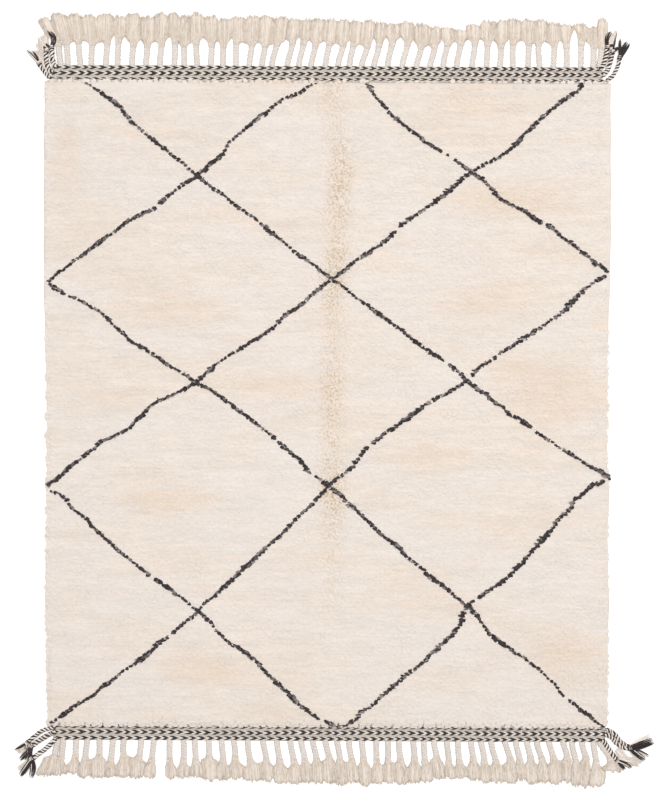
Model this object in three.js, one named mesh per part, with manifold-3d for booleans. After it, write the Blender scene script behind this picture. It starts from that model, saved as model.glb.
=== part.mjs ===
// A Beni Ourain rug: a hand-knotted pile rug of thick ivory wool from the Middle Atlas.
// The rug lies flat. X runs across it, Y along its warps and Z up from the floor, in mm.
// Its knotted field is one shaggy slab. At each end a woven strip carries three twined
// rows of charcoal and ivory yarn, and the warps leave the strip in plaits that open
// into brushes. Each twined row runs on past the strip as a twisted tail with a knot and
// a tassel, so three tails lie loose at every corner.

import * as THREE from "three";
import { mergeVertices } from "three/addons/utils/BufferGeometryUtils.js";
import Module from "manifold-3d";

const wasm = await Module();
wasm.setup();

// ---- driving dimensions ----

const CLEARANCE = 0.35; // between two pieces that lie against each other
const END_SKEW = -7; // how far both ends drop in Y from the left edge to the right one
const FIELD_WIDTH = 1549;

// The knotted field, without the locks at its rim.
const FIELD_LEFT = -790;
const FIELD_RIGHT = 749;
const FIELD_NEAR = -895.5;
const FIELD_FAR = 873.5;
const PILE_HEIGHT = 22;
const PILE_LUMP = 3.6; // how far the shag rises and sinks
const PILE_COLUMNS = 25;
const PILE_ROWS = 36;
const SHOULDER_WIDTH = 15; // the pile rounds down to its rim over this width
const SHOULDER_DROP = 2.5;
const RIM_HEIGHT = 14;
const RIM_TUCK = 4; // at both sides the woven ground ends this far inside the pile
const EDGE_WAVE = 3.2;
const LOCK_LENGTH = 9;
const LOCK_TIP_HEIGHT = 3;

// The lengthwise parting where the shag falls to both sides.
const PARTING_X = -7.5;
const PARTING_HALF = 44;
const PARTING_DEPTH = 6;
const PARTING_NEAR = -650; // the parting closes here

// The woven strip and the twined rows on it.
const STRIP_THICKNESS = 4;
const ROW_HALF = 5.6;
const ROW_HEIGHT = 7;
const ROW_SHOULDER = 2.4;
const STITCH = 23.4;
const STITCH_SWEEP = 4.2; // each stitch's middle runs this far ahead of its two sides

// Plaits and brushes.
const ROOT_HALF = 5.5;
const PLAIT_HALF = 7;
const PLAIT_HEIGHT = 10.5;
const LOCK_GAP = 0.8; // between two locks of a brush
const LOCK_TIP_HALF = 4.6;

// Tails.
const ROPE_LONG_RADIUS = 4.3;
const ROPE_SHORT_RADIUS = 3.1;
const ROPE_STEP = 7.5;
const ROPE_TURN = Math.PI / 3; // twist in one step
const KNOT_RADIUS = 5.8;
const TASSEL_HALF = 4.2;
const TASSEL_HEIGHT = 6;

// Both ends. side is the way out along Y, strip the strip's reach across, first and
// last the outermost plaits, plait a plait's length and inner, middle and outer the
// twined rows' distances from the rug's middle.
const ENDS = [
  {
    name: "far", side: 1, stripLeft: -757, stripRight: 721, field: FIELD_FAR,
    inner: 880, middle: 894.5, outer: 910,
    plaits: 41, first: -741, last: 712, plait: 59, partingAt: null,
  },
  {
    name: "near", side: -1, stripLeft: -760, stripRight: 721, field: -FIELD_NEAR,
    inner: 902, middle: 915, outer: 931,
    plaits: 44, first: -751, last: 712, plait: 50, partingAt: -474,
  },
];
const PARTING_BRUSH = 14; // half the bare width where two brushes stand apart

// How the plaits drift along an end. at is the fraction from the first plait to the
// last, shift moves the root across, lean and tip carry the plait's end and the brush's
// end across, and reach is how far out the brush ends.
const DRIFT = {
  far: [
    { at: 0.0, shift: 0, lean: -3, tip: -9, reach: 1043 },
    { at: 0.08, shift: 1, lean: 1, tip: -2, reach: 1055 },
    { at: 0.18, shift: 9, lean: 3, tip: 0, reach: 1053 },
    { at: 0.25, shift: 3, lean: 0, tip: -3, reach: 1059 },
    { at: 0.3, shift: 0, lean: 2, tip: 2, reach: 1045 },
    { at: 0.4, shift: -8, lean: 11, tip: 9, reach: 1047 },
    { at: 0.5, shift: -11, lean: 12, tip: 4, reach: 1044 },
    { at: 0.6, shift: -25, lean: 15, tip: 3, reach: 1036 },
    { at: 0.68, shift: -17, lean: 12, tip: 0, reach: 1030 },
    { at: 0.75, shift: -14, lean: 14, tip: -2, reach: 1020 },
    { at: 0.82, shift: 0, lean: 1, tip: 2, reach: 1045 },
    { at: 0.9, shift: 1, lean: 0, tip: 0, reach: 1046 },
    { at: 1.0, shift: 0, lean: 3, tip: 8, reach: 1034 },
  ],
  near: [
    { at: 0.0, shift: 0, lean: -9, tip: -22, reach: 1036 },
    { at: 0.11, shift: 5, lean: -1, tip: -2, reach: 1042 },
    { at: 0.17, shift: 20, lean: -3, tip: -3, reach: 1041 },
    { at: 0.2, shift: 27, lean: 2, tip: 0, reach: 1046 },
    { at: 0.3, shift: 34, lean: 4, tip: 2, reach: 1050 },
    { at: 0.4, shift: 50, lean: 10, tip: 6, reach: 1054 },
    { at: 0.5, shift: 44, lean: 9, tip: 3, reach: 1061 },
    { at: 0.58, shift: 48, lean: 3, tip: 0, reach: 1059 },
    { at: 0.7, shift: 41, lean: 6, tip: 5, reach: 1045 },
    { at: 0.8, shift: 28, lean: 15, tip: 9, reach: 1052 },
    { at: 0.92, shift: 16, lean: 11, tip: 10, reach: 1056 },
    { at: 1.0, shift: 0, lean: 16, tip: 16, reach: 1036 },
  ],
};

// The loose tail at each end of a twined row, as it lies: x and y of the rope's route,
// which starts inside the row, and the tips of the three locks past its knot.
const TAILS = {
  far_inner: {
    left: { route: [[-783, 884], [-794, 897], [-806, 913]],
      locks: [[-845, 960], [-825, 962], [-804, 960]] },
    right: { route: [[749, 876], [765, 892], [779, 922], [786, 943]],
      locks: [[811, 973], [804, 983], [794, 987]] },
  },
  far_middle: {
    left: { route: [[-774, 898], [-783, 908], [-787, 932], [-786, 962]],
      locks: [[-818, 985], [-806, 998], [-791, 996]] },
    right: { route: [[738, 891], [751, 905], [762, 934], [768, 952]],
      locks: [[783, 986], [775, 991], [767, 990]] },
  },
  far_outer: {
    left: { route: [[-764, 913.5], [-770, 923], [-772, 945], [-771, 968]],
      locks: [[-781, 1008], [-773, 1009], [-765, 1002]] },
    right: { route: [[727, 906.5], [738, 924], [749, 948], [754, 967]],
      locks: [[740, 1004], [750, 1010], [763, 1014]] },
  },
  near_inner: {
    left: { route: [[-767, -898.5], [-788, -903], [-807, -912], [-837, -939]],
      locks: [[-876, -944], [-877, -958], [-866, -964]] },
    right: { route: [[741, -905.3], [765, -913], [778, -930], [790, -943], [811, -950]],
      locks: [[876, -934], [868, -948], [858, -957]] },
  },
  near_middle: {
    left: { route: [[-773, -911.5], [-790, -919], [-807, -933], [-829, -953]],
      locks: [[-865, -976], [-861, -990], [-848, -986]] },
    right: { route: [[737, -918.4], [752, -929], [766, -948], [786, -962], [806, -967]],
      locks: [[866, -978], [855, -991], [842, -996]] },
  },
  near_outer: {
    left: { route: [[-764, -927.5], [-775, -941], [-789, -961], [-812, -983], [-832, -996]],
      locks: [[-869, -1025], [-861, -1036], [-838, -1038]] },
    right: { route: [[726, -934.3], [737, -946], [749, -964], [760, -978], [771, -991]],
      locks: [[840, -1004], [816, -1013], [799, -1017]] },
  },
};

const wool = new THREE.MeshStandardMaterial({ color: 0xe9dfd2, roughness: 0.95, metalness: 0 });
const warp = new THREE.MeshStandardMaterial({ color: 0xddd0bf, roughness: 0.95, metalness: 0 });
const twine = new THREE.MeshStandardMaterial({ color: 0x5b5352, roughness: 0.92, metalness: 0 });

// ---- shared helpers ----

// A repeatable number from 0 to 1 for any seed.
function chance(seed) {
  const wide = Math.sin(seed * 12.9898 + 4.1414) * 43758.5453;
  return wide - Math.floor(wide);
}

function smooth(t) {
  return t * t * (3 - 2 * t);
}

// Smooth lumps from -1 to 1, one cell to a lump.
function lumps(x, y, cell) {
  const column = Math.floor(x / cell);
  const row = Math.floor(y / cell);
  const across = smooth(x / cell - column);
  const along = smooth(y / cell - row);
  const corner = (i, j) => chance((column + i) * 7.31 + (row + j) * 3.77);
  const near = THREE.MathUtils.lerp(corner(0, 0), corner(1, 0), across);
  const far = THREE.MathUtils.lerp(corner(0, 1), corner(1, 1), across);
  return THREE.MathUtils.lerp(near, far, along) * 2 - 1;
}

// The drop of the rug's ends at a place across it.
function skew(x) {
  return (END_SKEW * x) / FIELD_WIDTH;
}

// A column of a drift table at a fraction along the end.
function drift(table, at, column) {
  const next = table.findIndex((row) => row.at >= at);
  if (next <= 0) {
    return table[0][column];
  }
  const before = table[next - 1];
  const after = table[next];
  const t = smooth((at - before.at) / (after.at - before.at));
  return THREE.MathUtils.lerp(before[column], after[column], t);
}

// A closed mesh built point by point.
class Skin {
  constructor() {
    this.points = [];
    this.faces = [];
  }

  point(x, y, z) {
    this.points.push(x, y, z);
    return this.points.length / 3 - 1;
  }

  face(a, b, c) {
    this.faces.push(a, b, c);
  }

  quad(a, b, c, d) {
    this.face(a, b, c);
    this.face(a, c, d);
  }

  // Walls between two rings of the same count.
  band(from, to) {
    from.forEach((point, i) => {
      const next = (i + 1) % from.length;
      this.quad(point, from[next], to[next], to[i]);
    });
  }

  // A flat or dished end over a ring.
  cap(ring) {
    for (let i = 1; i < ring.length - 1; i += 1) {
      this.face(ring[0], ring[i], ring[i + 1]);
    }
  }

  geometry(flipped = false) {
    const faces = flipped ? this.faces.slice().reverse() : this.faces;
    const shape = new THREE.BufferGeometry();
    shape.setAttribute("position", new THREE.Float32BufferAttribute(this.points, 3));
    shape.setIndex(faces);
    return shape;
  }
}

// A closed solid through rings of points, each ring counted the same way round.
function loft(rings) {
  const skin = new Skin();
  const indexed = rings.map((ring) => ring.map((p) => skin.point(p[0], p[1], p[2])));
  for (let i = 0; i < indexed.length - 1; i += 1) {
    skin.band(indexed[i], indexed[i + 1]);
  }
  skin.cap(indexed[0].slice().reverse());
  skin.cap(indexed[indexed.length - 1]);
  return skin.geometry();
}

function manifoldOf(geometry) {
  const shape = geometry.clone();
  shape.deleteAttribute("normal");
  shape.deleteAttribute("uv");
  const merged = mergeVertices(shape, 1e-5);
  const mesh = new wasm.Mesh({
    numProp: 3,
    vertProperties: new Float32Array(merged.attributes.position.array),
    triVerts: new Uint32Array(merged.index.array),
  });
  return new wasm.Manifold(mesh);
}

// One solid from several that run into each other.
function fused(geometries) {
  const whole = geometries.map(manifoldOf).reduce((sum, next) => sum.add(next));
  const mesh = whole.getMesh();
  const shape = new THREE.BufferGeometry();
  shape.setAttribute("position", new THREE.BufferAttribute(mesh.vertProperties, 3));
  shape.setIndex(new THREE.BufferAttribute(mesh.triVerts, 1));
  return shape;
}

function named(name, geometry, material) {
  geometry.computeVertexNormals();
  const mesh = new THREE.Mesh(geometry, material);
  mesh.name = name;
  return mesh;
}

// ---- knotted field ----

// How much of the parting is open at a place: 1 in its middle.
function parting(x, y) {
  const across = Math.max(0, 1 - Math.abs(x - PARTING_X) / PARTING_HALF);
  const along = THREE.MathUtils.clamp((y - PARTING_NEAR) / (FIELD_FAR - PARTING_NEAR), 0, 1);
  return smooth(across) * Math.sqrt(along);
}

function pileTop(x, y) {
  const broad = lumps(x, y, 150) * 0.45;
  const tight = lumps(x + 37, y - 61, 52) * 0.55;
  return PILE_HEIGHT + (broad + tight) * PILE_LUMP - parting(x, y) * PARTING_DEPTH;
}

// Places across the field: even ones, with the parting's own lines among them.
function pileColumns() {
  const inner = [];
  const step = (FIELD_RIGHT - FIELD_LEFT - 2 * SHOULDER_WIDTH) / PILE_COLUMNS;
  for (let i = 0; i <= PILE_COLUMNS; i += 1) {
    const x = FIELD_LEFT + SHOULDER_WIDTH + i * step;
    if (Math.abs(x - PARTING_X) > PARTING_HALF + step * 0.4) {
      inner.push(x);
    }
  }
  for (const share of [-1, -0.5, 0, 0.5, 1]) {
    inner.push(PARTING_X + share * PARTING_HALF);
  }
  inner.sort((a, b) => a - b);
  return [FIELD_LEFT, ...inner, FIELD_RIGHT];
}

function pileRows() {
  const rows = [FIELD_NEAR];
  const step = (FIELD_FAR - FIELD_NEAR - 2 * SHOULDER_WIDTH) / (PILE_ROWS - 2);
  for (let i = 0; i <= PILE_ROWS - 2; i += 1) {
    rows.push(FIELD_NEAR + SHOULDER_WIDTH + i * step);
  }
  rows.push(FIELD_FAR);
  return rows;
}

// The side edges wander a little.
function edgeWave(x, y) {
  const strength = Math.abs(x - PARTING_X) / (FIELD_WIDTH / 2);
  const side = Math.sign(x);
  return EDGE_WAVE * strength * (Math.sin(y / 96 + side) * 0.6 + Math.sin(y / 41 + 2 * side) * 0.4);
}

function knottedField() {
  const skin = new Skin();
  const xs = pileColumns();
  const ys = pileRows();
  const lastColumn = xs.length - 1;
  const lastRow = ys.length - 1;

  const place = (x, y, z) => skin.point(x + edgeWave(x, y), y + skew(x), z);
  const top = ys.map((y, j) => xs.map((x, i) => {
    const outer = i === 0 || j === 0 || i === lastColumn || j === lastRow;
    const second = i === 1 || j === 1 || i === lastColumn - 1 || j === lastRow - 1;
    const lump = pileTop(x, y) - PILE_HEIGHT;
    if (outer) {
      return place(x, y, RIM_HEIGHT + lump * 0.6);
    }
    return place(x, y, PILE_HEIGHT + lump - (second ? SHOULDER_DROP : 0));
  }));

  // The rim once round, with a further point between two rows on both long sides,
  // because the locks there are shorter than a row.
  const between = (i, j) => {
    const y = (ys[j] + ys[j + 1]) / 2;
    return place(xs[i], y, RIM_HEIGHT + (chance(i * 3 + j) - 0.5) * 3);
  };
  const leftMid = ys.slice(0, -1).map((_, j) => between(0, j));
  const rightMid = ys.slice(0, -1).map((_, j) => between(lastColumn, j));

  for (let j = 0; j < lastRow; j += 1) {
    for (let i = 0; i < lastColumn; i += 1) {
      const corners = [top[j][i], top[j][i + 1], top[j + 1][i + 1], top[j + 1][i]];
      if (i === 0) {
        skin.face(leftMid[j], corners[0], corners[1]);
        skin.face(leftMid[j], corners[1], corners[2]);
        skin.face(leftMid[j], corners[2], corners[3]);
      } else if (i === lastColumn - 1) {
        skin.face(rightMid[j], corners[2], corners[3]);
        skin.face(rightMid[j], corners[3], corners[0]);
        skin.face(rightMid[j], corners[0], corners[1]);
      } else if ((i + j) % 2 === 0) {
        skin.quad(...corners);
      } else {
        skin.quad(corners[1], corners[2], corners[3], corners[0]);
      }
    }
  }

  // Counter-clockwise from the near left corner.
  const rim = [];
  for (let i = 0; i < lastColumn; i += 1) {
    rim.push({ at: top[0][i], out: [0, -1], lock: false });
  }
  for (let j = 0; j < lastRow; j += 1) {
    rim.push({ at: top[j][lastColumn], out: [1, 0], lock: true });
    rim.push({ at: rightMid[j], out: [1, 0], lock: false });
  }
  for (let i = lastColumn; i > 0; i -= 1) {
    rim.push({ at: top[lastRow][i], out: [0, 1], lock: false });
  }
  for (let j = lastRow - 1; j >= 0; j -= 1) {
    rim.push({ at: top[j + 1][0], out: [-1, 0], lock: true });
    rim.push({ at: leftMid[j], out: [-1, 0], lock: false });
  }

  // The ground's edge on the floor, a little inside the pile at both sides, and the
  // locks over it. At both ends it runs straight on into the woven strip.
  const middleX = (FIELD_LEFT + FIELD_RIGHT) / 2;
  const tuck = 1 - RIM_TUCK / (FIELD_RIGHT - middleX);
  const read = (index, axis) => skin.points[index * 3 + axis];
  const foot = rim.map(({ at }) => skin.point(
    middleX + (read(at, 0) - middleX) * tuck,
    read(at, 1),
    0,
  ));
  rim.forEach((here, k) => {
    const next = (k + 1) % rim.length;
    const ring = [here.at, foot[k], foot[next], rim[next].at];
    if (!here.lock) {
      skin.quad(...ring);
      return;
    }
    const length = LOCK_LENGTH * (0.7 + 0.55 * chance(k + 5));
    const sway = (chance(k * 1.7) - 0.5) * 16;
    const centre = [0, 1].map((axis) => (read(here.at, axis) + read(rim[next].at, axis)) / 2);
    const tip = skin.point(
      centre[0] + here.out[0] * length,
      centre[1] + sway,
      LOCK_TIP_HEIGHT + 2 * chance(k * 2.3),
    );
    ring.forEach((point, i) => skin.face(point, ring[(i + 1) % 4], tip));
  });

  const outline = foot.map((point) => new THREE.Vector2(read(point, 0), read(point, 1)));
  for (const [a, b, c] of THREE.ShapeUtils.triangulateShape(outline, [])) {
    skin.face(foot[c], foot[b], foot[a]);
  }
  return named("knotted_field", skin.geometry(), wool);
}

// ---- fringe ----

// Where one plait goes: its root, the plait's end and its brush's end.
function plaitLine(end, i) {
  const at = i / (end.plaits - 1);
  const table = DRIFT[end.name];
  const even = THREE.MathUtils.lerp(end.first, end.last, at);
  const inside = i === 0 || i === end.plaits - 1 ? 0 : 1;
  const seed = i * 5 + end.side;
  const root = even + drift(table, at, "shift") + inside * (chance(seed) - 0.5) * 4;
  const open = root + drift(table, at, "lean") + inside * (chance(seed + 1) - 0.5) * 4;
  const tip = open + drift(table, at, "tip") + inside * (chance(seed + 2) - 0.5) * 4;
  return { root, open, tip, reach: drift(table, at, "reach") };
}

// A four-sided section of a strand that lies on the floor: its right foot, its left
// foot, and its left and right shoulders.
function strandRing(skin, end, x0, x1, out, height) {
  const inset = (x1 - x0) * 0.15;
  const y = (x) => end.side * out + skew(x);
  return [
    skin.point(x1, y(x1), 0),
    skin.point(x0, y(x0), 0),
    skin.point(x0 + inset, y(x0), height),
    skin.point(x1 - inset, y(x1), height),
  ];
}

// One lock of a brush, from a ring at the plait's end to a blunt tip on the floor.
function brushLock(skin, end, base, slot) {
  let ring = base;
  for (const { out, x0, x1, height } of slot.sections) {
    const next = strandRing(skin, end, x0, x1, out, height);
    skin.band(ring, next);
    ring = next;
  }
  const y = end.side * slot.reach + skew(slot.tip);
  const left = skin.point(slot.tip - LOCK_TIP_HALF, y, 0);
  const right = skin.point(slot.tip + LOCK_TIP_HALF, y, 0);
  skin.quad(ring[0], ring[1], left, right);
  skin.face(ring[1], ring[2], left);
  skin.quad(ring[2], ring[3], right, left);
  skin.face(ring[3], ring[0], right);
}

// The share of its slot that a lock fills, at fractions of the brush's length.
const BRUSH = [
  { at: 0.3, fill: 0.98, height: 9 },
  { at: 0.82, fill: 0.95, height: 5 },
];

function brushSlots(end, lines, i, start) {
  const line = lines[i];
  const centre = (at) => THREE.MathUtils.lerp(line.open, line.tip, at);
  const edge = (other, side, at) => {
    if (!other) {
      return centre(at) + side * (13 + 9 * at * at);
    }
    const theirs = THREE.MathUtils.lerp(other.open, other.tip, at);
    const middle = (theirs + centre(at)) / 2;
    const bare = end.partingAt !== null && Math.abs(middle - end.partingAt) < PARTING_BRUSH * 1.6;
    return bare ? middle - side * PARTING_BRUSH * (0.4 + 0.6 * at) : middle - side * LOCK_GAP;
  };
  return [-1, 1].map((side) => {
    const other = lines[i + side];
    const seed = i * 11 + side * 3 + end.side * 7;
    const reach = line.reach + (chance(seed) - 0.5) * 11;
    const sections = BRUSH.map(({ at, fill, height }) => {
      const inner = centre(at) + side * LOCK_GAP * 0.5;
      const outer = inner + (edge(other, side, at) - inner) * (fill - 0.08 * chance(seed + at));
      return {
        out: THREE.MathUtils.lerp(start, reach, at),
        x0: Math.min(inner, outer),
        x1: Math.max(inner, outer),
        height,
      };
    });
    const tip = (centre(1) + edge(other, side, 1)) / 2;
    return { sections, tip, reach };
  });
}

function fringe(end) {
  const skin = new Skin();
  const innerEdge = end.field + CLEARANCE;
  const outerEdge = end.outer + ROW_HALF + 2 * CLEARANCE;
  const lines = [];
  for (let i = 0; i < end.plaits; i += 1) {
    lines.push(plaitLine(end, i));
  }

  // The strip, cut across at both sides of every root.
  const cuts = [end.stripLeft];
  for (const { root } of lines) {
    cuts.push(root - ROOT_HALF, root + ROOT_HALF);
  }
  cuts.push(end.stripRight);
  const slices = cuts.map((x) => ({
    innerLow: skin.point(x, end.side * innerEdge + skew(x), 0),
    innerHigh: skin.point(x, end.side * innerEdge + skew(x), STRIP_THICKNESS),
    outerHigh: skin.point(x, end.side * outerEdge + skew(x), STRIP_THICKNESS),
    outerLow: skin.point(x, end.side * outerEdge + skew(x), 0),
  }));
  const first = slices[0];
  const last = slices[slices.length - 1];
  skin.quad(first.innerLow, first.innerHigh, first.outerHigh, first.outerLow);
  skin.quad(last.outerLow, last.outerHigh, last.innerHigh, last.innerLow);

  for (let k = 0; k < slices.length - 1; k += 1) {
    const a = slices[k];
    const b = slices[k + 1];
    skin.quad(a.innerHigh, b.innerHigh, b.outerHigh, a.outerHigh);
    skin.quad(a.outerLow, b.outerLow, b.innerLow, a.innerLow);
    skin.quad(a.innerLow, b.innerLow, b.innerHigh, a.innerHigh);
    if (k % 2 === 0) {
      skin.quad(a.outerHigh, b.outerHigh, b.outerLow, a.outerLow);
      continue;
    }
    const i = (k - 1) / 2;
    const { root, open } = lines[i];
    const opening = outerEdge + end.plait + (chance(i + 40 * end.side) - 0.5) * 9;
    const ring = [b.outerLow, a.outerLow, a.outerHigh, b.outerHigh];
    const early = THREE.MathUtils.lerp(root, open, 0.12);
    const near = strandRing(
      skin, end, early - PLAIT_HALF, early + PLAIT_HALF, outerEdge + 6, PLAIT_HEIGHT,
    );
    skin.band(ring, near);

    // The plait's last section has a point in the middle of its top and its bottom,
    // where the two locks part.
    const far = strandRing(
      skin, end, open - PLAIT_HALF, open + PLAIT_HALF, opening, PLAIT_HEIGHT,
    );
    const y = end.side * opening + skew(open);
    const midLow = skin.point(open, y, 0);
    const midHigh = skin.point(open, y, PLAIT_HEIGHT);
    skin.quad(near[1], near[2], far[2], far[1]);
    skin.quad(near[3], near[0], far[0], far[3]);
    skin.face(near[0], near[1], midLow);
    skin.face(near[0], midLow, far[0]);
    skin.face(near[1], far[1], midLow);
    skin.face(near[2], near[3], midHigh);
    skin.face(near[2], midHigh, far[2]);
    skin.face(near[3], far[3], midHigh);

    const [leftSlot, rightSlot] = brushSlots(end, lines, i, opening);
    brushLock(skin, end, [midLow, far[1], far[2], midHigh], leftSlot);
    brushLock(skin, end, [far[0], midLow, midHigh, far[3]], rightSlot);
  }
  return named(`fringe_${end.name}`, skin.geometry(end.side < 0), warp);
}

// ---- twined rows, with their tails and tassels ----

// A row's raised stitches. Each is a pair of yarns crossed over a group of warps, so it
// shows as a chevron: its middle runs ahead of its sides.
function stitchedRow(y, x0, x1, count) {
  const base = STRIP_THICKNESS + CLEARANCE;
  const rings = [];
  const steps = count * 2;
  for (let k = 0; k <= steps; k += 1) {
    const crest = k % 2 === 1;
    const x = THREE.MathUtils.lerp(x0, x1, k / steps);
    const ends = k === 0 || k === steps;
    const half = crest ? ROW_HALF : ROW_HALF - 1.7;
    const height = crest ? ROW_HEIGHT : ROW_HEIGHT - 2.6;
    const sweep = ends ? 0 : STITCH_SWEEP;
    const middle = y + skew(x);
    rings.push([
      [x, middle, base],
      [x - sweep, middle + half, base + ROW_SHOULDER],
      [x + sweep, middle, base + height],
      [x - sweep, middle - half, base + ROW_SHOULDER],
    ]);
  }
  return loft(rings);
}

// The innermost row is half sunk in the pile: a low ridge, one swell to a stitch.
function plainRow(y, x0, x1, count) {
  const base = STRIP_THICKNESS + CLEARANCE;
  const rings = [];
  for (let k = 0; k <= count; k += 1) {
    const x = THREE.MathUtils.lerp(x0, x1, k / count);
    const swell = k % 2 === 1 ? 1 : 0.76;
    const middle = y + skew(x);
    rings.push([
      [x, middle + ROW_HALF * swell, base],
      [x, middle, base + (ROW_HEIGHT - 1) * swell],
      [x, middle - ROW_HALF * swell, base],
    ]);
  }
  return loft(rings);
}

// A two-ply rope: an oval section that turns as it runs.
function tailRope(route) {
  const rest = ROPE_LONG_RADIUS + 0.05;
  const onRow = STRIP_THICKNESS + CLEARANCE + ROW_HEIGHT * 0.45;
  const curve = new THREE.CatmullRomCurve3(route.map(([x, y], i) => (
    new THREE.Vector3(x, y, i === 0 ? onRow : rest)
  )), false, "centripetal");
  const steps = Math.round(curve.getLength() / ROPE_STEP);
  const rings = [];
  for (let k = 0; k <= steps; k += 1) {
    const centre = curve.getPointAt(k / steps);
    const tangent = curve.getTangentAt(k / steps);
    const sideways = new THREE.Vector3(-tangent.y, tangent.x, 0).normalize();
    const turn = k * ROPE_TURN;
    const lift = Math.max(0, rest - centre.z);
    rings.push([0, 1, 2, 3].map((corner) => {
      const angle = (corner * Math.PI) / 2;
      const a = Math.cos(angle) * ROPE_LONG_RADIUS;
      const b = Math.sin(angle) * ROPE_SHORT_RADIUS;
      const across = a * Math.cos(turn) - b * Math.sin(turn);
      const up = a * Math.sin(turn) + b * Math.cos(turn);
      return [
        centre.x + sideways.x * across,
        centre.y + sideways.y * across,
        centre.z + lift + up,
      ];
    }));
  }
  return loft(rings);
}

// The knot that ties off a tail, a round lump on the floor.
function tailKnot(at) {
  const knot = new THREE.IcosahedronGeometry(KNOT_RADIUS, 0);
  return knot.translate(at[0], at[1], KNOT_RADIUS);
}

// A lock of loose yarn on the floor, from inside the knot out to its tip.
function tasselLock(from, tip) {
  const start = new THREE.Vector2(from[0], from[1]);
  const way = new THREE.Vector2(tip[0], tip[1]).sub(start);
  const aside = new THREE.Vector2(-way.y, way.x).normalize();
  const sections = [
    { at: 0, half: TASSEL_HALF * 0.7, height: TASSEL_HEIGHT },
    { at: 0.5, half: TASSEL_HALF, height: TASSEL_HEIGHT },
    { at: 1, half: TASSEL_HALF * 0.6, height: TASSEL_HEIGHT * 0.4 },
  ];
  const rings = sections.map(({ at, half, height }) => {
    const middle = start.clone().addScaledVector(way, at);
    const corner = (side, share, z) => [
      middle.x + aside.x * side * half * share,
      middle.y + aside.y * side * half * share,
      z,
    ];
    return [corner(-1, 1, 0), corner(1, 1, 0), corner(1, 0.7, height), corner(-1, 0.7, height)];
  });
  return loft(rings);
}

function twinedRow(end, place) {
  const y = end.side * end[place];
  const { left, right } = TAILS[`${end.name}_${place}`];
  const x0 = left.route[0][0] - 4;
  const x1 = right.route[0][0] + 4;
  const count = Math.round((x1 - x0) / STITCH);
  const row = place === "inner" ? plainRow(y, x0, x1, count) : stitchedRow(y, x0, x1, count);
  const parts = [row];
  for (const { route, locks } of [left, right]) {
    const knot = route[route.length - 1];
    parts.push(tailRope(route), tailKnot(knot));
    for (const tip of locks) {
      parts.push(tasselLock(knot, tip));
    }
  }
  return named(`twining_${end.name}_${place}`, fused(parts), twine);
}

// ---- the rug ----

const rug = new THREE.Group();
rug.name = "beni_ourain_rug";
rug.add(knottedField());
for (const end of ENDS) {
  rug.add(fringe(end));
  for (const place of ["inner", "middle", "outer"]) {
    rug.add(twinedRow(end, place));
  }
}

export default rug;
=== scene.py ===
import math

import bpy
import numpy as np
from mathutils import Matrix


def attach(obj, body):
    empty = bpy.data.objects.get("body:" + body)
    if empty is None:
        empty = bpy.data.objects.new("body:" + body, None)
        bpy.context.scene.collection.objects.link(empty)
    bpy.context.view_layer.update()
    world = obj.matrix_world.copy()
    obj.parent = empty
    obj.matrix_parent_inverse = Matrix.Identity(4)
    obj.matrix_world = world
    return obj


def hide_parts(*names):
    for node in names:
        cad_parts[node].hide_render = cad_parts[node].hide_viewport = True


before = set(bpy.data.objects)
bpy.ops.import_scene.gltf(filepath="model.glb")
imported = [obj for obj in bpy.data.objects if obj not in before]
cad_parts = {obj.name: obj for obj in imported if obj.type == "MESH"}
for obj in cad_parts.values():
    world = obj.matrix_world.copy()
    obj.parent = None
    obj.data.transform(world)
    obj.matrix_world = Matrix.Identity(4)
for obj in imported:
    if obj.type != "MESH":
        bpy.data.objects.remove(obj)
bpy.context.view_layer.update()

# ---- The studio ----
# The rug lies on a plain white floor under wide soft lights. The camera hangs over its
# middle and looks straight down through a long lens.

MM = 0.001
FRAME_TALL = 2194.4 * MM  # the length of floor along the tall side of the frame
FRAME_MIDDLE = (0.7 * MM, -1.4 * MM)
FOCUS_HEIGHT = 15 * MM
LENS = 85.0
SENSOR = 36.0
ROOM_LIGHT = 0.54
WHITE = (1.0, 1.0, 1.0, 1.0)
FLOOR_HALF = 12

scene = bpy.context.scene
scene.view_settings.view_transform = "Standard"


def put(name, data):
    """Puts a new object in the scene."""
    piece = bpy.data.objects.new(name, data)
    scene.collection.objects.link(piece)
    return piece


camera_lens = bpy.data.cameras.new("overhead_camera")
camera_lens.lens = LENS
camera_lens.sensor_width = SENSOR
scene.camera = put("overhead_camera", camera_lens)
scene.camera.location = (*FRAME_MIDDLE, FRAME_TALL * LENS / SENSOR + FOCUS_HEIGHT)

room = bpy.data.worlds.new("studio_room")
room.use_nodes = True
room_light = room.node_tree.nodes["Background"].inputs
room_light["Color"].default_value = WHITE
room_light["Strength"].default_value = ROOM_LIGHT
scene.world = room


def softbox(name, place, size, power):
    """A square studio light that faces the middle of the rug."""
    light = bpy.data.lights.new(name, "AREA")
    light.shape = "SQUARE"
    light.size = size
    light.energy = power
    holder = put(name, light)
    holder.location = place
    towards = -holder.location.normalized()
    holder.rotation_euler = towards.to_track_quat("-Z", "Y").to_euler()
    holder.visible_camera = False


softbox("overhead_softbox", (0.0, 0.6, 6.2), 3.4, 287.0)
softbox("side_softbox", (3.0, 3.0, 3.4), 2.0, 36.0)

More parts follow.
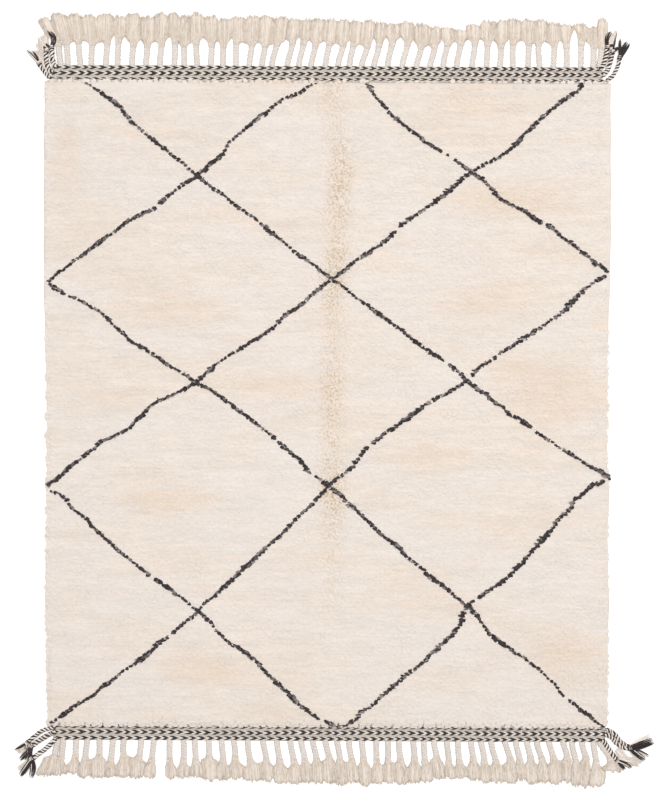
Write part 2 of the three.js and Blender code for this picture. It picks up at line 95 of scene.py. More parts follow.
floor_paint = bpy.data.materials.new("studio_floor")
floor_paint.use_nodes = True
floor_shader = floor_paint.node_tree.nodes["Principled BSDF"].inputs
floor_shader["Base Color"].default_value = (0.92, 0.92, 0.92, 1.0)
floor_shader["Roughness"].default_value = 0.9
floor_shader["Emission Color"].default_value = WHITE
floor_shader["Emission Strength"].default_value = 0.2
floor_mesh = bpy.data.meshes.new("studio_floor")
floor_corners = [(x * FLOOR_HALF, y * FLOOR_HALF, 0) for x, y in ((-1, -1), (1, -1), (1, 1), (-1, 1))]
floor_mesh.from_pydata(floor_corners, [], [(0, 1, 2, 3)])
floor_mesh.materials.append(floor_paint)
floor = put("studio_floor", floor_mesh)


# ---- Woven ground ----
# Under the pile is a plain weave of ivory wool: warps run the rug's length and wefts are
# beaten down across them. It is a soft flat cloth that lies on the floor, and every
# knot of the pile is tied round its warps.

FIELD_LEFT = -790.0
FIELD_RIGHT = 749.0
FIELD_NEAR = -895.5
FIELD_FAR = 873.5
FIELD_WIDTH = 1549.0
END_SKEW = -7.0  # both ends drop this far from the left edge to the right one
# The main bends of the long edges: a place along the rug and how far out the edge stands there.
LEFT_BENDS = ((873, 0), (700, 3), (300, 3), (0, -5), (-300, -6), (-550, 0), (-700, -9), (-895, -10))
RIGHT_BENDS = (
    (873, 6), (470, 7), (270, 2), (50, -6), (-170, -5), (-240, 2), (-390, -4), (-550, 1), (-700, -4),
    (-895, -6),
)
PARTING_X = -7.5
GROUND_TUCK = 0.5
GROUND_LOW = 0.9
GROUND_HIGH = 4.2
GROUND_WOOL = (214, 198, 178)
FIELD_MAP = ((-0.8, -0.91), (0.76, 0.89))  # the floor that a map of the field covers, in metres


def skew(x):
    """The drop of the rug's ends at a place across it, in mm."""
    return END_SKEW * x / FIELD_WIDTH


def bends(chart, y):
    """A charted shift at any place along the rug, read between the chart's rows."""
    places = [-place for place, shift in chart]
    return np.interp(-y, places, [shift for place, shift in chart])


def edge_wave(x, y):
    """The long edges wander a little."""
    strength = np.clip((np.abs(x - PARTING_X) / (FIELD_WIDTH / 2) - 0.8) / 0.2, 0, 1)
    left = -bends(LEFT_BENDS, y)
    right = bends(RIGHT_BENDS, y)
    ripple = 0.8 * np.sin(y / 23 + np.sign(x)) * strength
    return strength * np.where(x < PARTING_X, left, right) + ripple


def wool_colour(wool, shade=1.0):
    """A wool's colour, from screen values of 0 to 255, as the shaders want it."""
    shares = [value * shade / 255 for value in wool]
    linear = [s / 12.92 if s < 0.04045 else ((s + 0.055) / 1.055) ** 2.4 for s in shares]
    return (*linear, 1.0)


class Bench:
    """Lays out a node tree: adds nodes, joins them and does sums."""

    def __init__(self, tree):
        self.tree = tree
        self.made = 0

    def add(self, kind, inputs=None, **settings):
        node = self.tree.nodes.new(kind)
        node.location = ((self.made % 10) * 200, -(self.made // 10) * 260)
        self.made += 1
        for name, value in settings.items():
            setattr(node, name, value)
        for key, value in (inputs or {}).items():
            self.feed(node.inputs[key], value)
        return node

    def feed(self, socket, value):
        if isinstance(value, bpy.types.NodeSocket):
            self.tree.links.new(value, socket)
        else:
            socket.default_value = value

    def math(self, operation, *values, clamp=False):
        inputs = dict(enumerate(values))
        return self.add("ShaderNodeMath", inputs, operation=operation, use_clamp=clamp).outputs[0]

    def times(self, first, second):
        return self.math("MULTIPLY", first, second)

    def plus(self, first, second):
        return self.math("ADD", first, second)

    def times_plus(self, first, second, third):
        return self.math("MULTIPLY_ADD", first, second, third)

    def vector(self, operation, *values):
        node = self.add("ShaderNodeVectorMath", dict(enumerate(values)), operation=operation)
        return node.outputs[1 if operation == "LENGTH" else 0]

    def xyz(self, x=0.0, y=0.0, z=0.0):
        return self.add("ShaderNodeCombineXYZ", {"X": x, "Y": y, "Z": z}).outputs[0]

    def split(self, vector):
        return self.add("ShaderNodeSeparateXYZ", {0: vector}).outputs

    def remap(self, *parts, smooth=False):
        """Takes a value from its low and high to 0 and 1, or to a given low and high."""
        kind = "SMOOTHSTEP" if smooth else "LINEAR"
        return self.add("ShaderNodeMapRange", dict(enumerate(parts)), interpolation_type=kind).outputs[0]

    def noise(self, place, scale, detail):
        inputs = {"Vector": place, "Scale": scale, "Detail": detail}
        return self.add("ShaderNodeTexNoise", inputs).outputs[0]

    def blend(self, share, first, second, how="MIX"):
        inputs = {0: share, 6: first, 7: second}
        return self.add("ShaderNodeMix", inputs, data_type="RGBA", blend_type=how).outputs[2]

    def attribute(self, name):
        return self.add("ShaderNodeAttribute", attribute_name=name).outputs["Fac"]

    def place(self):
        return self.add("ShaderNodeTexCoord").outputs["Object"]

    def group(self, tree, **values):
        """Places a shader group, its inputs named with _ for a space."""
        inputs = {label.replace("_", " "): value for label, value in values.items()}
        return self.add("ShaderNodeGroup", inputs, node_tree=tree).outputs


def shader_group(name, inputs, outputs):
    """An empty shader node group, with its bench, what it is given and what it puts out."""
    tree = bpy.data.node_groups.new(name, "ShaderNodeTree")
    for label, value in inputs.items():
        kind = "NodeSocketVector" if isinstance(value, tuple) else "NodeSocketFloat"
        tree.interface.new_socket(label, in_out="INPUT", socket_type=kind).default_value = value
    for label in outputs:
        tree.interface.new_socket(label, in_out="OUTPUT", socket_type="NodeSocketFloat")
    bench = Bench(tree)
    return tree, bench, bench.add("NodeGroupInput").outputs, bench.add("NodeGroupOutput").inputs


def wool_fibres():
    """Fine fibres along a strand, with thicker and paler stretches."""
    inputs = {"Place": (0.0, 0.0, 0.0), "Fibre Size": (0.002, 0.002, 0.002)}
    tree, bench, given, result = shader_group("wool_fibres", inputs, ["Tone", "Height"])
    stretched = bench.vector("DIVIDE", given["Place"], given["Fibre Size"])
    fine = bench.noise(stretched, 1.0, 2.0)
    tone = bench.times_plus(bench.noise(stretched, 0.23, 1.0), 0.4, bench.times(fine, 0.6))
    bench.feed(result["Tone"], bench.remap(tone, 0.3, 0.7))
    bench.feed(result["Height"], fine)
    return tree


def plain_weave():
    """Warps and wefts crossing: ribs across, each broken where a warp lies over it."""
    inputs = {"Place": (0.0, 0.0, 0.0), "Warp Pitch": 0.005, "Weft Pitch": 0.003}
    tree, bench, given, result = shader_group("plain_weave", inputs, ["Height", "Gap"])
    place = bench.split(given["Place"])
    across = bench.math("DIVIDE", place["X"], given["Warp Pitch"])
    along = bench.math("DIVIDE", place["Y"], given["Weft Pitch"])
    turned = bench.times_plus(bench.math("FLOOR", along), 0.5, across)
    rise = bench.math("SINE", bench.times(turned, math.tau))
    rib = bench.math("ABSOLUTE", bench.math("SINE", bench.times(along, math.pi)))
    height = bench.times(rib, bench.times_plus(rise, 0.3, 0.7))
    bench.feed(result["Height"], height)
    bench.feed(result["Gap"], bench.remap(height, 0.0, 0.45, 1.0, 0.0))
    return tree


WOOL_FIBRES = wool_fibres()
PLAIN_WEAVE = plain_weave()


def fibres_in(bench, place, *size):
    """The tone and height of wool fibres, with their size in metres along x, y and z."""
    return bench.group(WOOL_FIBRES, Place=place, Fibre_Size=size)


def wool_material(name, sheen=0.25):
    """An empty wool finish: matt, with the faint bloom of loose fibres at its edges."""
    material = bpy.data.materials.new(name)
    material.use_nodes = True
    shader = material.node_tree.nodes["Principled BSDF"].inputs
    shader["Roughness"].default_value = 0.92
    shader["Specular IOR Level"].default_value = 0.12
    shader["Sheen Weight"].default_value = sheen
    shader["Sheen Roughness"].default_value = 0.6
    return material, Bench(material.node_tree), shader


def dye(bench, shader, colour, height, depth):
    """Gives a wool finish its colour, and its grain from a height, in metres of depth."""
    bench.feed(shader["Base Color"], colour)
    bump = bench.add("ShaderNodeBump", {"Height": height, "Distance": depth, "Strength": 1.0})
    bench.feed(shader["Normal"], bump.outputs[0])


def weave_finish(name, wool, warp_pitch, weft_pitch):
    material, bench, shader = wool_material(name)
    place = bench.place()
    weave = bench.group(PLAIN_WEAVE, Place=place, Warp_Pitch=warp_pitch, Weft_Pitch=weft_pitch)
    fibres = fibres_in(bench, place, 0.012, 0.0016, 0.002)
    streaked = bench.blend(fibres["Tone"], wool_colour(wool, 0.86), wool_colour(wool))
    height = bench.times_plus(fibres["Height"], 0.25, weave["Height"])
    # Painted shade: in the gaps between warps and wefts the wool is a darker copy of itself.
    dye(bench, shader, bench.blend(weave["Gap"], streaked, wool_colour(wool, 0.68)), height, 0.0009)
    return material


def mesh_piece(name, points, faces, material):
    """A smooth piece at the origin, from points in mm."""
    mesh = bpy.data.meshes.new(name)
    mesh.from_pydata((np.asarray(points) * MM).tolist(), [], faces)
    mesh.materials.append(material)
    mesh.shade_smooth()
    return put(name, mesh)


def read(items, name, width=1, kind=np.float32):
    """One number, or a row of them, from every item of a mesh."""
    values = np.empty(len(items) * width, kind)
    items.foreach_get(name, values)
    return values.reshape(-1, width) if width > 1 else values


def set_map(mesh, places):
    chart = mesh.uv_layers.new(name="OFBake")
    chart.data.foreach_set("uv", np.asarray(places, np.float32).ravel())


def planar_map(piece, low, high):
    """A flat map of the piece from above: the underside beside the top, the rim on it."""
    mesh = piece.data
    place = read(mesh.vertices, "co", 3)[read(mesh.loops, "vertex_index", kind=np.int32)]
    corners = read(mesh.polygons, "loop_total", kind=np.int32)
    under = np.repeat(read(mesh.polygons, "normal", 3)[:, 2] < 0, corners)
    flat = (place[:, :2] - np.array(low)) / (np.array(high) - np.array(low))
    flat[:, 1] += (place[:, 2] * 2.0) * np.where(flat[:, 1] > 0.5, -1, 1)
    flat[:, 0] = flat[:, 0] * 0.49 + np.where(under, 0.505, 0.005)
    set_map(mesh, np.clip(flat, 0, 1))


def grid_faces(rows, columns):
    """The squares of a grid of points, and the points round its rim in order."""
    index = np.arange(rows * columns).reshape(rows, columns)
    corners = (index[:-1, :-1], index[:-1, 1:], index[1:, 1:], index[1:, :-1])
    rim = np.concatenate([index[0, :], index[1:, -1], index[-1, -2::-1], index[-2:0:-1, 0]])
    return np.column_stack([corner.ravel() for corner in corners]), rim


def flat_cloth(name, xs, ys, low, high, material, place):
    """A closed cloth of even thickness over a grid; place turns grid points into x, y."""
    across, along = np.meshgrid(xs, ys)
    x, y = place(across.ravel(), along.ravel())
    swell = np.sin(x / 23) * np.sin(y / 31) * 0.25
    points = np.vstack([np.column_stack([x, y, high + swell]), np.column_stack([x, y, np.full_like(x, low)])])
    squares, rim = grid_faces(len(ys), len(xs))
    ahead = np.roll(rim, -1)
    walls = np.column_stack([rim + len(x), ahead + len(x), ahead, rim])
    faces = np.vstack([squares, squares[:, ::-1] + len(x), walls])
    return mesh_piece(name, points, faces.tolist(), material)


def field_place(x, y):
    return x + edge_wave(x, y), y + skew(x)


ground = flat_cloth(
    "woven_ground",
    np.linspace(FIELD_LEFT + GROUND_TUCK, FIELD_RIGHT - GROUND_TUCK, 42),
    np.linspace(FIELD_NEAR, FIELD_FAR, 48),
    GROUND_LOW,
    GROUND_HIGH,
    weave_finish("ground_weave", GROUND_WOOL, 0.0062, 0.0036),
    field_place,
)
planar_map(ground, *FIELD_MAP)
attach(ground, "root")
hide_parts("knotted_field")


# ---- Fleece ----
# The knots of the pile stand so close that their fibres felt together into one soft
# body over the ground. It is thick handspun ivory wool, rounded down at its edges and
# sunk along the middle, where the pile parts.

FLEECE_TOP = 15.5
FLEECE_EDGE = 6.0
FLEECE_SHOULDER = 17.0
FLEECE_LUMP = 0.9
FLEECE_CELL = 14.0
PARTING_HALF = 56.0
PARTING_BENDS = ((875, -4), (712, 14), (643, 30), (575, 18), (396, 14), (300, 3), (-650, 0))
PARTING_NEAR = -650.0
PARTING_DEPTH = 3.4


def parted_share(x, y):
    """How far the pile is parted at a place, from 0 to 1; the band swells and thins."""
    across = np.clip(1 - np.abs(x - PARTING_X - bends(PARTING_BENDS, y)) / PARTING_HALF, 0, 1)
    along = np.clip((y - PARTING_NEAR) / 420, 0, 1)
    swell = 0.72 + 0.2 * np.sin(y / 47 + 1) + 0.16 * np.sin(y / 118 + 4)
    return across * across * (3 - 2 * across) * along * swell


def fleece_height(x, y, inset):
    """How high the felted body of the pile stands at a place, in mm."""
    rng = np.random.default_rng(5)
    lump = np.zeros_like(x)
    for _ in range(14):
        length = rng.uniform(36, 190)
        way = rng.uniform(0, math.tau)
        lump += np.sin((x * math.cos(way) + y * math.sin(way)) * math.tau / length + rng.uniform(0, 7))
    full = FLEECE_TOP - FLEECE_EDGE + lump * FLEECE_LUMP * 0.4 - parted_share(x, y) * PARTING_DEPTH
    rounded = np.sqrt(1 - (1 - np.clip(inset / FLEECE_SHOULDER, 0, 1)) ** 2)
    return FLEECE_EDGE + full * rounded


def slab_faces(squares, rim, first, foot):
    """Faces of a closed slab: its top from a grid, walls down to a foot and a flat base."""
    around = np.arange(len(rim)) + foot
    walls = np.column_stack([around, np.roll(around, -1), np.roll(rim, -1) + first, rim + first])
    return (squares + first).tolist() + walls.tolist() + [around[::-1].tolist()]


def store(mesh, name, values):
    """Keeps a number at every point of a mesh."""
    holder = mesh.attributes.new(name, "FLOAT", "POINT")
    holder.data.foreach_set("value", np.asarray(values, np.float32))


def fleece_lines(low, high):
    """Grid lines about one cell apart, with finer ones over both shoulders."""
    shoulder = np.array([0.0, 1.2, 4.0, 9.0])
    inside = np.arange(low + 16, high - 15, FLEECE_CELL)
    return np.concatenate([low + shoulder, inside, high - shoulder[::-1]])


def pile_fleece(material):
    """The felted body of the pile, which knows at every point how far the pile is parted."""
    xs = fleece_lines(FIELD_LEFT - 5.0, FIELD_RIGHT + 5.5)
    ys = fleece_lines(FIELD_NEAR + 2, FIELD_FAR - 2)
    across, along = (grid.ravel() for grid in np.meshgrid(xs, ys))
    inset = np.minimum.reduce([across - xs[0], xs[-1] - across, along - ys[0], ys[-1] - along])
    top = np.column_stack([*field_place(across, along), fleece_height(across, along, inset)])
    squares, rim = grid_faces(len(ys), len(xs))
    foot = top[rim]
    foot[:, 2] = GROUND_HIGH + 0.3
    points = np.vstack([top, foot])
    piece = mesh_piece("pile_fleece", points, slab_faces(squares, rim, 0, len(top)), material)
    parted = parted_share(points[:, 0], points[:, 1])
    store(piece.data, "parted", parted)
    store(piece.data, "tone", np.full_like(parted, 0.5))
    # Where the pile parts, the fleece takes the colour of the knots' feet, with their painted shade.
    store(piece.data, "along", 0.5 - 0.5 * parted)
    planar_map(piece, *FIELD_MAP)
    return piece


def soft_patch():
    """An oval area that fades out to its edge, as one batch of yarn does in a row."""
    inputs = {"Place": (0.0, 0.0, 0.0), "Middle": (0.0, 0.0, 0.0), "Half Size": (0.1, 0.1, 1.0)}
    tree, bench, given, result = shader_group("soft_patch", inputs, ["Mask"])
    off = bench.vector("SUBTRACT", given["Place"], given["Middle"])
    distance = bench.vector("LENGTH", bench.vector("DIVIDE", off, given["Half Size"]))
    bench.feed(result["Mask"], bench.remap(distance, 0.25, 1.25, 1.0, 0.0, smooth=True))
    return tree


SOFT_PATCH = soft_patch()
CREAM = (225, 216, 208)
CREAM_DEEP = (209, 199, 190)
WARM_CREAM = (250, 238, 222)
PINK_CREAM = (226, 206, 190)
COOL_CREAM = (213, 207, 202)
# Yellower wool at the feet of the knots, darkened with painted shade.
FOOT_WOOL_AND_SHADE = (182, 159, 131)
PARTING_WOOL = (206, 185, 157)

# Where a warmer batch of yarn was used: middle and half size, in mm.
WARM_PATCHES = [
    (-437, 232, 200, 60), (-629, -1, 130, 50), (578, 53, 180, 120), (455, 822, 230, 70),
    (427, 245, 180, 90), (-94, 40, 240, 42), (-738, 657, 55, 130), (647, -728, 120, 110),
    (-437, -276, 180, 45), (-368, -742, 120, 50), (470, 540, 200, 70), (263, -166, 150, 70),
]


def ivory_pile_finish():
    material, bench, shader = wool_material("ivory_pile_wool", sheen=0.2)
    place = bench.place()
    tone, along, parted = (bench.attribute(name) for name in ("tone", "along", "parted"))
    streaks = fibres_in(bench, place, 0.05, 0.0056, 0.05)
    share = bench.times_plus(streaks["Tone"], 0.74, bench.times(tone, 0.26))
    body = bench.blend(share, wool_colour(CREAM_DEEP), wool_colour(CREAM))
    other = fibres_in(bench, place, 0.085, 0.0062, 0.05)
    pink = bench.remap(other["Height"], 0.55, 0.75, 0.0, 0.6)
    body = bench.blend(pink, body, wool_colour(PINK_CREAM))

    # Batches of yarn, warmer and cooler, in broad bands across the rug.
    bands = bench.noise(bench.vector("DIVIDE", place, (0.42, 0.13, 1.0)), 1.0, 3.0)
    warm = bench.remap(bands, 0.45, 0.75, 0.0, 0.5)
    for x, y, half_x, half_y in WARM_PATCHES:
        middle, half = (x * MM, y * MM, 0.015), (half_x * MM, half_y * MM, 1.0)
        patch = bench.group(SOFT_PATCH, Place=place, Middle=middle, Half_Size=half)
        warm = bench.math("MULTIPLY_ADD", patch["Mask"], 0.5, warm, clamp=True)
    batch = bench.blend(bench.times(warm, 0.75), body, wool_colour(WARM_CREAM), "MULTIPLY")
    batch = bench.blend(bench.remap(bands, 0.5, 0.3, 0.0, 0.35), batch, wool_colour(COOL_CREAM))

    # The parted middle has yellower specks; the feet of the knots are yellower wool, darkened with painted
    # shade.
    speckle = bench.remap(bench.noise(place, 190.0, 1.0), 0.46, 0.64)
    yellowed = bench.blend(bench.times(parted, speckle), batch, wool_colour(PARTING_WOOL))
    foot = bench.times(bench.remap(along, 0.0, 0.5, 1.0, 0.0), bench.remap(speckle, 0.0, 1.0, 0.15, 0.9))
    colour = bench.blend(foot, yellowed, wool_colour(FOOT_WOOL_AND_SHADE))
    fibres = fibres_in(bench, place, 0.0009, 0.004, 0.003)
    dye(bench, shader, colour, fibres["Height"], 0.0003)
    return material


PILE_WOOL = ivory_pile_finish()
fleece = pile_fleece(PILE_WOOL)
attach(fleece, "root")
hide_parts("knotted_field")


# ---- Ivory pile ----
# Thick handspun ivory wool is knotted on every second pair of warps and cut to a shag
# about 2 cm deep. The nap falls towards the near end and outwards at the long edges, and
# along the middle it parts to both sides and shows the feet of the knots: yellower wool,
# darkened with painted shade.

ROW_PITCH = 6.0
KNOT_PITCH = 11.6
PILE_NEAR = FIELD_NEAR + 7.5
PILE_FAR = FIELD_FAR - 2.5
PILE_BANDS = 4
PILE_SEED = 11
LOCK_VARIANTS = 8
LOCK_POINTS = 8
LOCK_CORNERS = 36  # of the faces of one lock


def pile_lock(name, seed):
    """One end of a knot: it rises out of the fleece, then lies down the rug, blunt and flat."""
    rng = np.random.default_rng(seed)
    bend = rng.uniform(-1.6, 1.6)
    ragged = rng.uniform(-1.3, 1.3, 3)
    points = [
        (-4.0, 0.0, -2.8), (4.0, 0.0, -2.8), (-6.4 + bend * 0.4, -5.2, 0.5), (6.4 + bend * 0.4, -5.2, 0.5),
        (bend - 5.0, -11.2 + ragged[0], 0.95), (bend, -12.6 + ragged[1], 1.15),
        (bend + 5.0, -11.2 + ragged[2], 0.95), (bend * 0.4, -5.6, -1.7),
    ]
    top = [(0, 2, 3), (0, 3, 1), (2, 4, 5), (2, 5, 3), (3, 5, 6)]
    under = [(0, 7, 2), (2, 7, 4), (4, 7, 5), (5, 7, 6), (6, 7, 3), (3, 7, 1), (1, 7, 0)]
    mesh = bpy.data.meshes.new(name)
    mesh.from_pydata([tuple(value * MM for value in p) for p in points], [], top + under)
    mesh.shade_smooth()
    rim = {frozenset(pair) for pair in ((0, 2), (2, 4), (4, 5), (5, 6), (6, 3), (3, 1), (1, 0))}
    for edge in mesh.edges:
        edge.use_edge_sharp = frozenset(edge.vertices) in rim
    store(mesh, "along", [0.0, 0.0, 0.6, 0.6, 1.0, 1.0, 1.0, 0.2])
    where = []
    for face in top + under:
        shift = 0.02 if face in top else 0.52
        for x, y, _ in (points[corner] for corner in face):
            where += [shift + 0.46 * (x + 8.5) / 17.0, 0.03 + 0.94 * (y + 14.0) / 14.0]
    set_map(mesh, where)
    return bpy.data.objects.new(name, mesh)


lock_shelf = bpy.data.collections.new("pile_locks")
for variant in range(LOCK_VARIANTS):
    lock_shelf.objects.link(pile_lock(f"pile_lock_{variant}", 40 + variant))


class GrowingBench(Bench):
    """A bench for geometry trees, with the steps that they repeat."""

    def __init__(self, name):
        super().__init__(bpy.data.node_groups.new(name, "GeometryNodeTree"))
        for way in ("INPUT", "OUTPUT"):
            self.tree.interface.new_socket("Geometry", in_out=way, socket_type="NodeSocketGeometry")
        self.given = self.add("NodeGroupInput").outputs[0]

    def step(self, kind, inputs=None, **settings):
        return self.add("GeometryNode" + kind, inputs, **settings).outputs

    def here(self):
        return self.step("InputPosition")[0]

    def random(self, low, high, seed):
        """A different fixed number at every point."""
        return self.add("FunctionNodeRandomValue", {2: low, 3: high, "Seed": seed}).outputs[1]

    def keep(self, geometry, chosen):
        """The chosen points alone."""
        inputs = {"Geometry": geometry, "Selection": chosen}
        return self.step("SeparateGeometry", inputs, domain="POINT")["Selection"]

    def store(self, geometry, name, value, kind="FLOAT", domain="POINT"):
        inputs = {"Geometry": geometry, "Name": name, "Value": value}
        return self.step("StoreNamedAttribute", inputs, data_type=kind, domain=domain)[0]

    def recall(self, name, kind="FLOAT"):
        return self.step("InputNamedAttribute", {"Name": name}, data_type=kind)[0]

    def move(self, geometry, **where):
        """Moves points to a Position or by an Offset."""
        return self.step("SetPosition", {"Geometry": geometry, **where})[0]

    def rotation(self, x=0.0, y=0.0, z=0.0):
        return self.add("FunctionNodeEulerToRotation", {0: self.xyz(x, y, z)}).outputs[0]

    def finish(self, geometry, wool):
        """Dyes what was made and puts it out."""
        dyed = self.step("SetMaterial", {"Geometry": geometry, "Material": wool})
        self.feed(self.add("NodeGroupOutput").inputs["Geometry"], dyed[0])
        return self.tree


def lay_locks(bench, points, turn, size, uneven, lift, seed):
    """Lays a lock at every point: on the fleece, turned, sized and a little uneven."""
    here = bench.here()
    under = bench.step(
        "Raycast",
        {
            "Target Geometry": bench.step("ObjectInfo", {"Object": fleece})["Geometry"],
            "Source Position": bench.vector("ADD", here, (0.0, 0.0, 0.2)),
            "Ray Direction": (0.0, 0.0, -1.0),
            "Ray Length": 1.0,
        },
    )
    carried = bench.keep(points, under["Is Hit"])
    upright = bench.vector("ADD", under["Hit Normal"], (0.0, 0.0, 1.1))
    laid = bench.add(
        "FunctionNodeAlignRotationToVector",
        {"Rotation": bench.rotation(z=turn), "Factor": 1.0, "Vector": upright},
        axis="Z",
    )
    nod, roll = (bench.times(bench.random(-1.0, 1.0, seed + k), uneven) for k in (0, 1))
    leaned = bench.add(
        "FunctionNodeRotateRotation",
        {"Rotation": laid.outputs[0], "Rotate By": bench.rotation(nod, roll)},
        rotation_space="LOCAL",
    )
    pick_range = {4: 0, 5: LOCK_VARIANTS - 1, "Seed": seed + 2}
    shelf = {"Collection": lock_shelf, "Separate Children": True, "Reset Children": True}
    tied = bench.step(
        "InstanceOnPoints",
        {
            "Points": carried,
            "Instance": bench.step("CollectionInfo", shelf)[0],
            "Pick Instance": True,
            "Instance Index": bench.add("FunctionNodeRandomValue", pick_range, data_type="INT").outputs[2],
            "Rotation": leaned.outputs[0],
            "Scale": size,
        },
    )
    rise = bench.plus(bench.split(under["Hit Position"])["Z"], lift)
    lifted = bench.move(tied[0], Offset=bench.xyz(z=rise))
    toned = bench.store(lifted, "tone", bench.random(0.0, 1.0, seed + 3), domain="INSTANCE")
    marked = bench.store(toned, "foot", here, "FLOAT_VECTOR", "INSTANCE")
    whole = bench.step("RealizeInstances", {"Geometry": marked})[0]
    at = bench.split(bench.here())
    return bench.move(whole, Position=bench.xyz(at["X"], at["Y"], bench.math("MAXIMUM", at["Z"], 0.0003)))


def knotting_tree(near, far):
    """Rows of knots over the fleece, each lock turned, sized and dyed by its place."""
    bench = GrowingBench("knotting")
    wide, long = (FIELD_RIGHT - FIELD_LEFT - 16) * MM, (PILE_FAR - PILE_NEAR) * MM
    count, rows = int(wide / (KNOT_PITCH * MM)), int(long / (ROW_PITCH * MM))
    sizes = {"Size X": wide, "Size Y": long, "Vertices X": count, "Vertices Y": rows}
    grid = bench.step("MeshGrid", sizes)
    knots = bench.step("MeshToPoints", {"Mesh": grid["Mesh"]})[0]

    # Every foot is a little off its place, and the rows follow the rug's own outline.
    foot = bench.split(bench.here())
    off_x = bench.times(bench.random(-0.42, 0.42, PILE_SEED), wide / count)
    off_y = bench.times(bench.random(-0.22, 0.22, PILE_SEED + 1), long / rows)
    x = bench.plus(bench.plus(foot["X"], off_x), (FIELD_RIGHT + FIELD_LEFT) / 2 * MM)
    y = bench.plus(bench.plus(foot["Y"], off_y), (PILE_FAR + PILE_NEAR) / 2 * MM)
    drop = bench.times(x, END_SKEW / FIELD_WIDTH)
    set_out = bench.move(knots, Position=bench.xyz(x, bench.plus(y, drop)))

    # The knots of this band alone.
    here = bench.here()
    spot = bench.split(here)
    after = bench.math("GREATER_THAN", spot["Y"], near)
    before = bench.math("LESS_THAN", spot["Y"], far)
    banded = bench.keep(set_out, bench.times(after, before))

    # The fleece knows how far the pile is parted over each knot.
    sample = bench.step(
        "SampleNearestSurface",
        {
            "Mesh": bench.step("ObjectInfo", {"Object": fleece})["Geometry"],
            "Value": bench.recall("parted"),
            "Sample Position": bench.vector("ADD", here, (0.0, 0.0, FLEECE_TOP * MM)),
        },
        data_type="FLOAT",
    )
    kept = bench.store(banded, "parted", sample[0])
    parted = bench.recall("parted")

    # The way each lock falls: down the rug, every way at the parting, out at the edges.
    right = bench.remap(spot["X"], (FIELD_RIGHT - 24) * MM, (FIELD_RIGHT - 6) * MM)
    left = bench.remap(spot["X"], (FIELD_LEFT + 24) * MM, (FIELD_LEFT + 6) * MM)
    outward = bench.times(bench.math("SUBTRACT", right, left), 0.55)
    back = bench.remap(spot["Y"], (FIELD_FAR - 12) * MM, (FIELD_FAR - 5) * MM)
    flip = bench.math("SIGN", bench.random(-1.0, 1.0, PILE_SEED + 2))
    turned_back = bench.times(bench.times(back, flip), 2.7)
    sway = bench.times(bench.random(-1.0, 1.0, PILE_SEED + 3), bench.times_plus(parted, 2.6, 0.22))
    turn = bench.plus(bench.plus(outward, turned_back), sway)
    uneven = bench.times_plus(parted, 0.3, 0.05)

    # Thicker and thinner locks, and small ones where the pile parts over their feet.
    shrink = bench.times_plus(parted, -0.42, 1.0)
    broad = bench.times(shrink, bench.random(0.85, 1.25, PILE_SEED + 4))
    tall = bench.times(shrink, bench.random(0.75, 1.25, PILE_SEED + 5))
    size = bench.xyz(broad, shrink, tall)
    return bench.finish(lay_locks(bench, kept, turn, size, uneven, 0.0, PILE_SEED + 20), PILE_WOOL)


def grow(name, tree, base=None):
    """Runs a geometry tree on an object and leaves its result as a plain mesh."""
    piece = put(name, base or bpy.data.meshes.new(name))
    maker = piece.modifiers.new(tree.name, "NODES")
    maker.node_group = tree
    bpy.context.view_layer.update()
    seen = bpy.context.evaluated_depsgraph_get()
    made = bpy.data.meshes.new_from_object(
        piece.evaluated_get(seen), preserve_all_data_layers=True, depsgraph=seen
    )
    piece.modifiers.clear()
    piece.data = made
    made.name = name
    return piece


def lock_map(piece):
    """Gives every lock a cell of its own on the piece's map."""
    mesh = piece.data
    chart = mesh.uv_layers["OFBake"].data
    flat = read(chart, "uv", 2)
    locks = np.arange(len(flat)) // LOCK_CORNERS
    feet = read(mesh.attributes["foot"].data, "vector", 3)[::LOCK_POINTS]
    order = np.lexsort((feet[:, 0], np.round(feet[:, 1] / (ROW_PITCH * MM))))
    cell = np.empty(len(order), np.int64)
    cell[order] = np.arange(len(order))
    columns = math.ceil(math.sqrt(len(order)))
    rows = math.ceil(len(order) / columns)
    flat[:, 0] = (cell[locks] % columns + flat[:, 0]) / columns
    flat[:, 1] = (cell[locks] // columns + flat[:, 1]) / rows
    chart.foreach_set("uv", flat.ravel())


pile_step = (PILE_FAR - PILE_NEAR) * MM / PILE_BANDS
band_ends = [-1.0, *(PILE_NEAR * MM + pile_step * k for k in range(1, PILE_BANDS)), 1.0]
for band in range(PILE_BANDS):
    piece = grow(f"ivory_pile_{band + 1}", knotting_tree(band_ends[band], band_ends[band + 1]))
    lock_map(piece)
    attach(piece, "root")
    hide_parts("knotted_field")


# ---- Charcoal trellis ----
# The one figure on the rug is a trellis of tall lozenges in charcoal wool. The weaver
# ties it by eye, a dark knot or two to a row, so its lines step, swell and break off.

# Where two lines cross, in mm across and along the rug.
CROSSINGS = {
    "far left": (-380, 616), "far right": (378, 624), "upper middle": (-8, 332),
    "left": (-380, 48), "right": (367, 51), "lower middle": (-15, -237),
    "near left": (-376, -580), "near right": (367, -569),
}
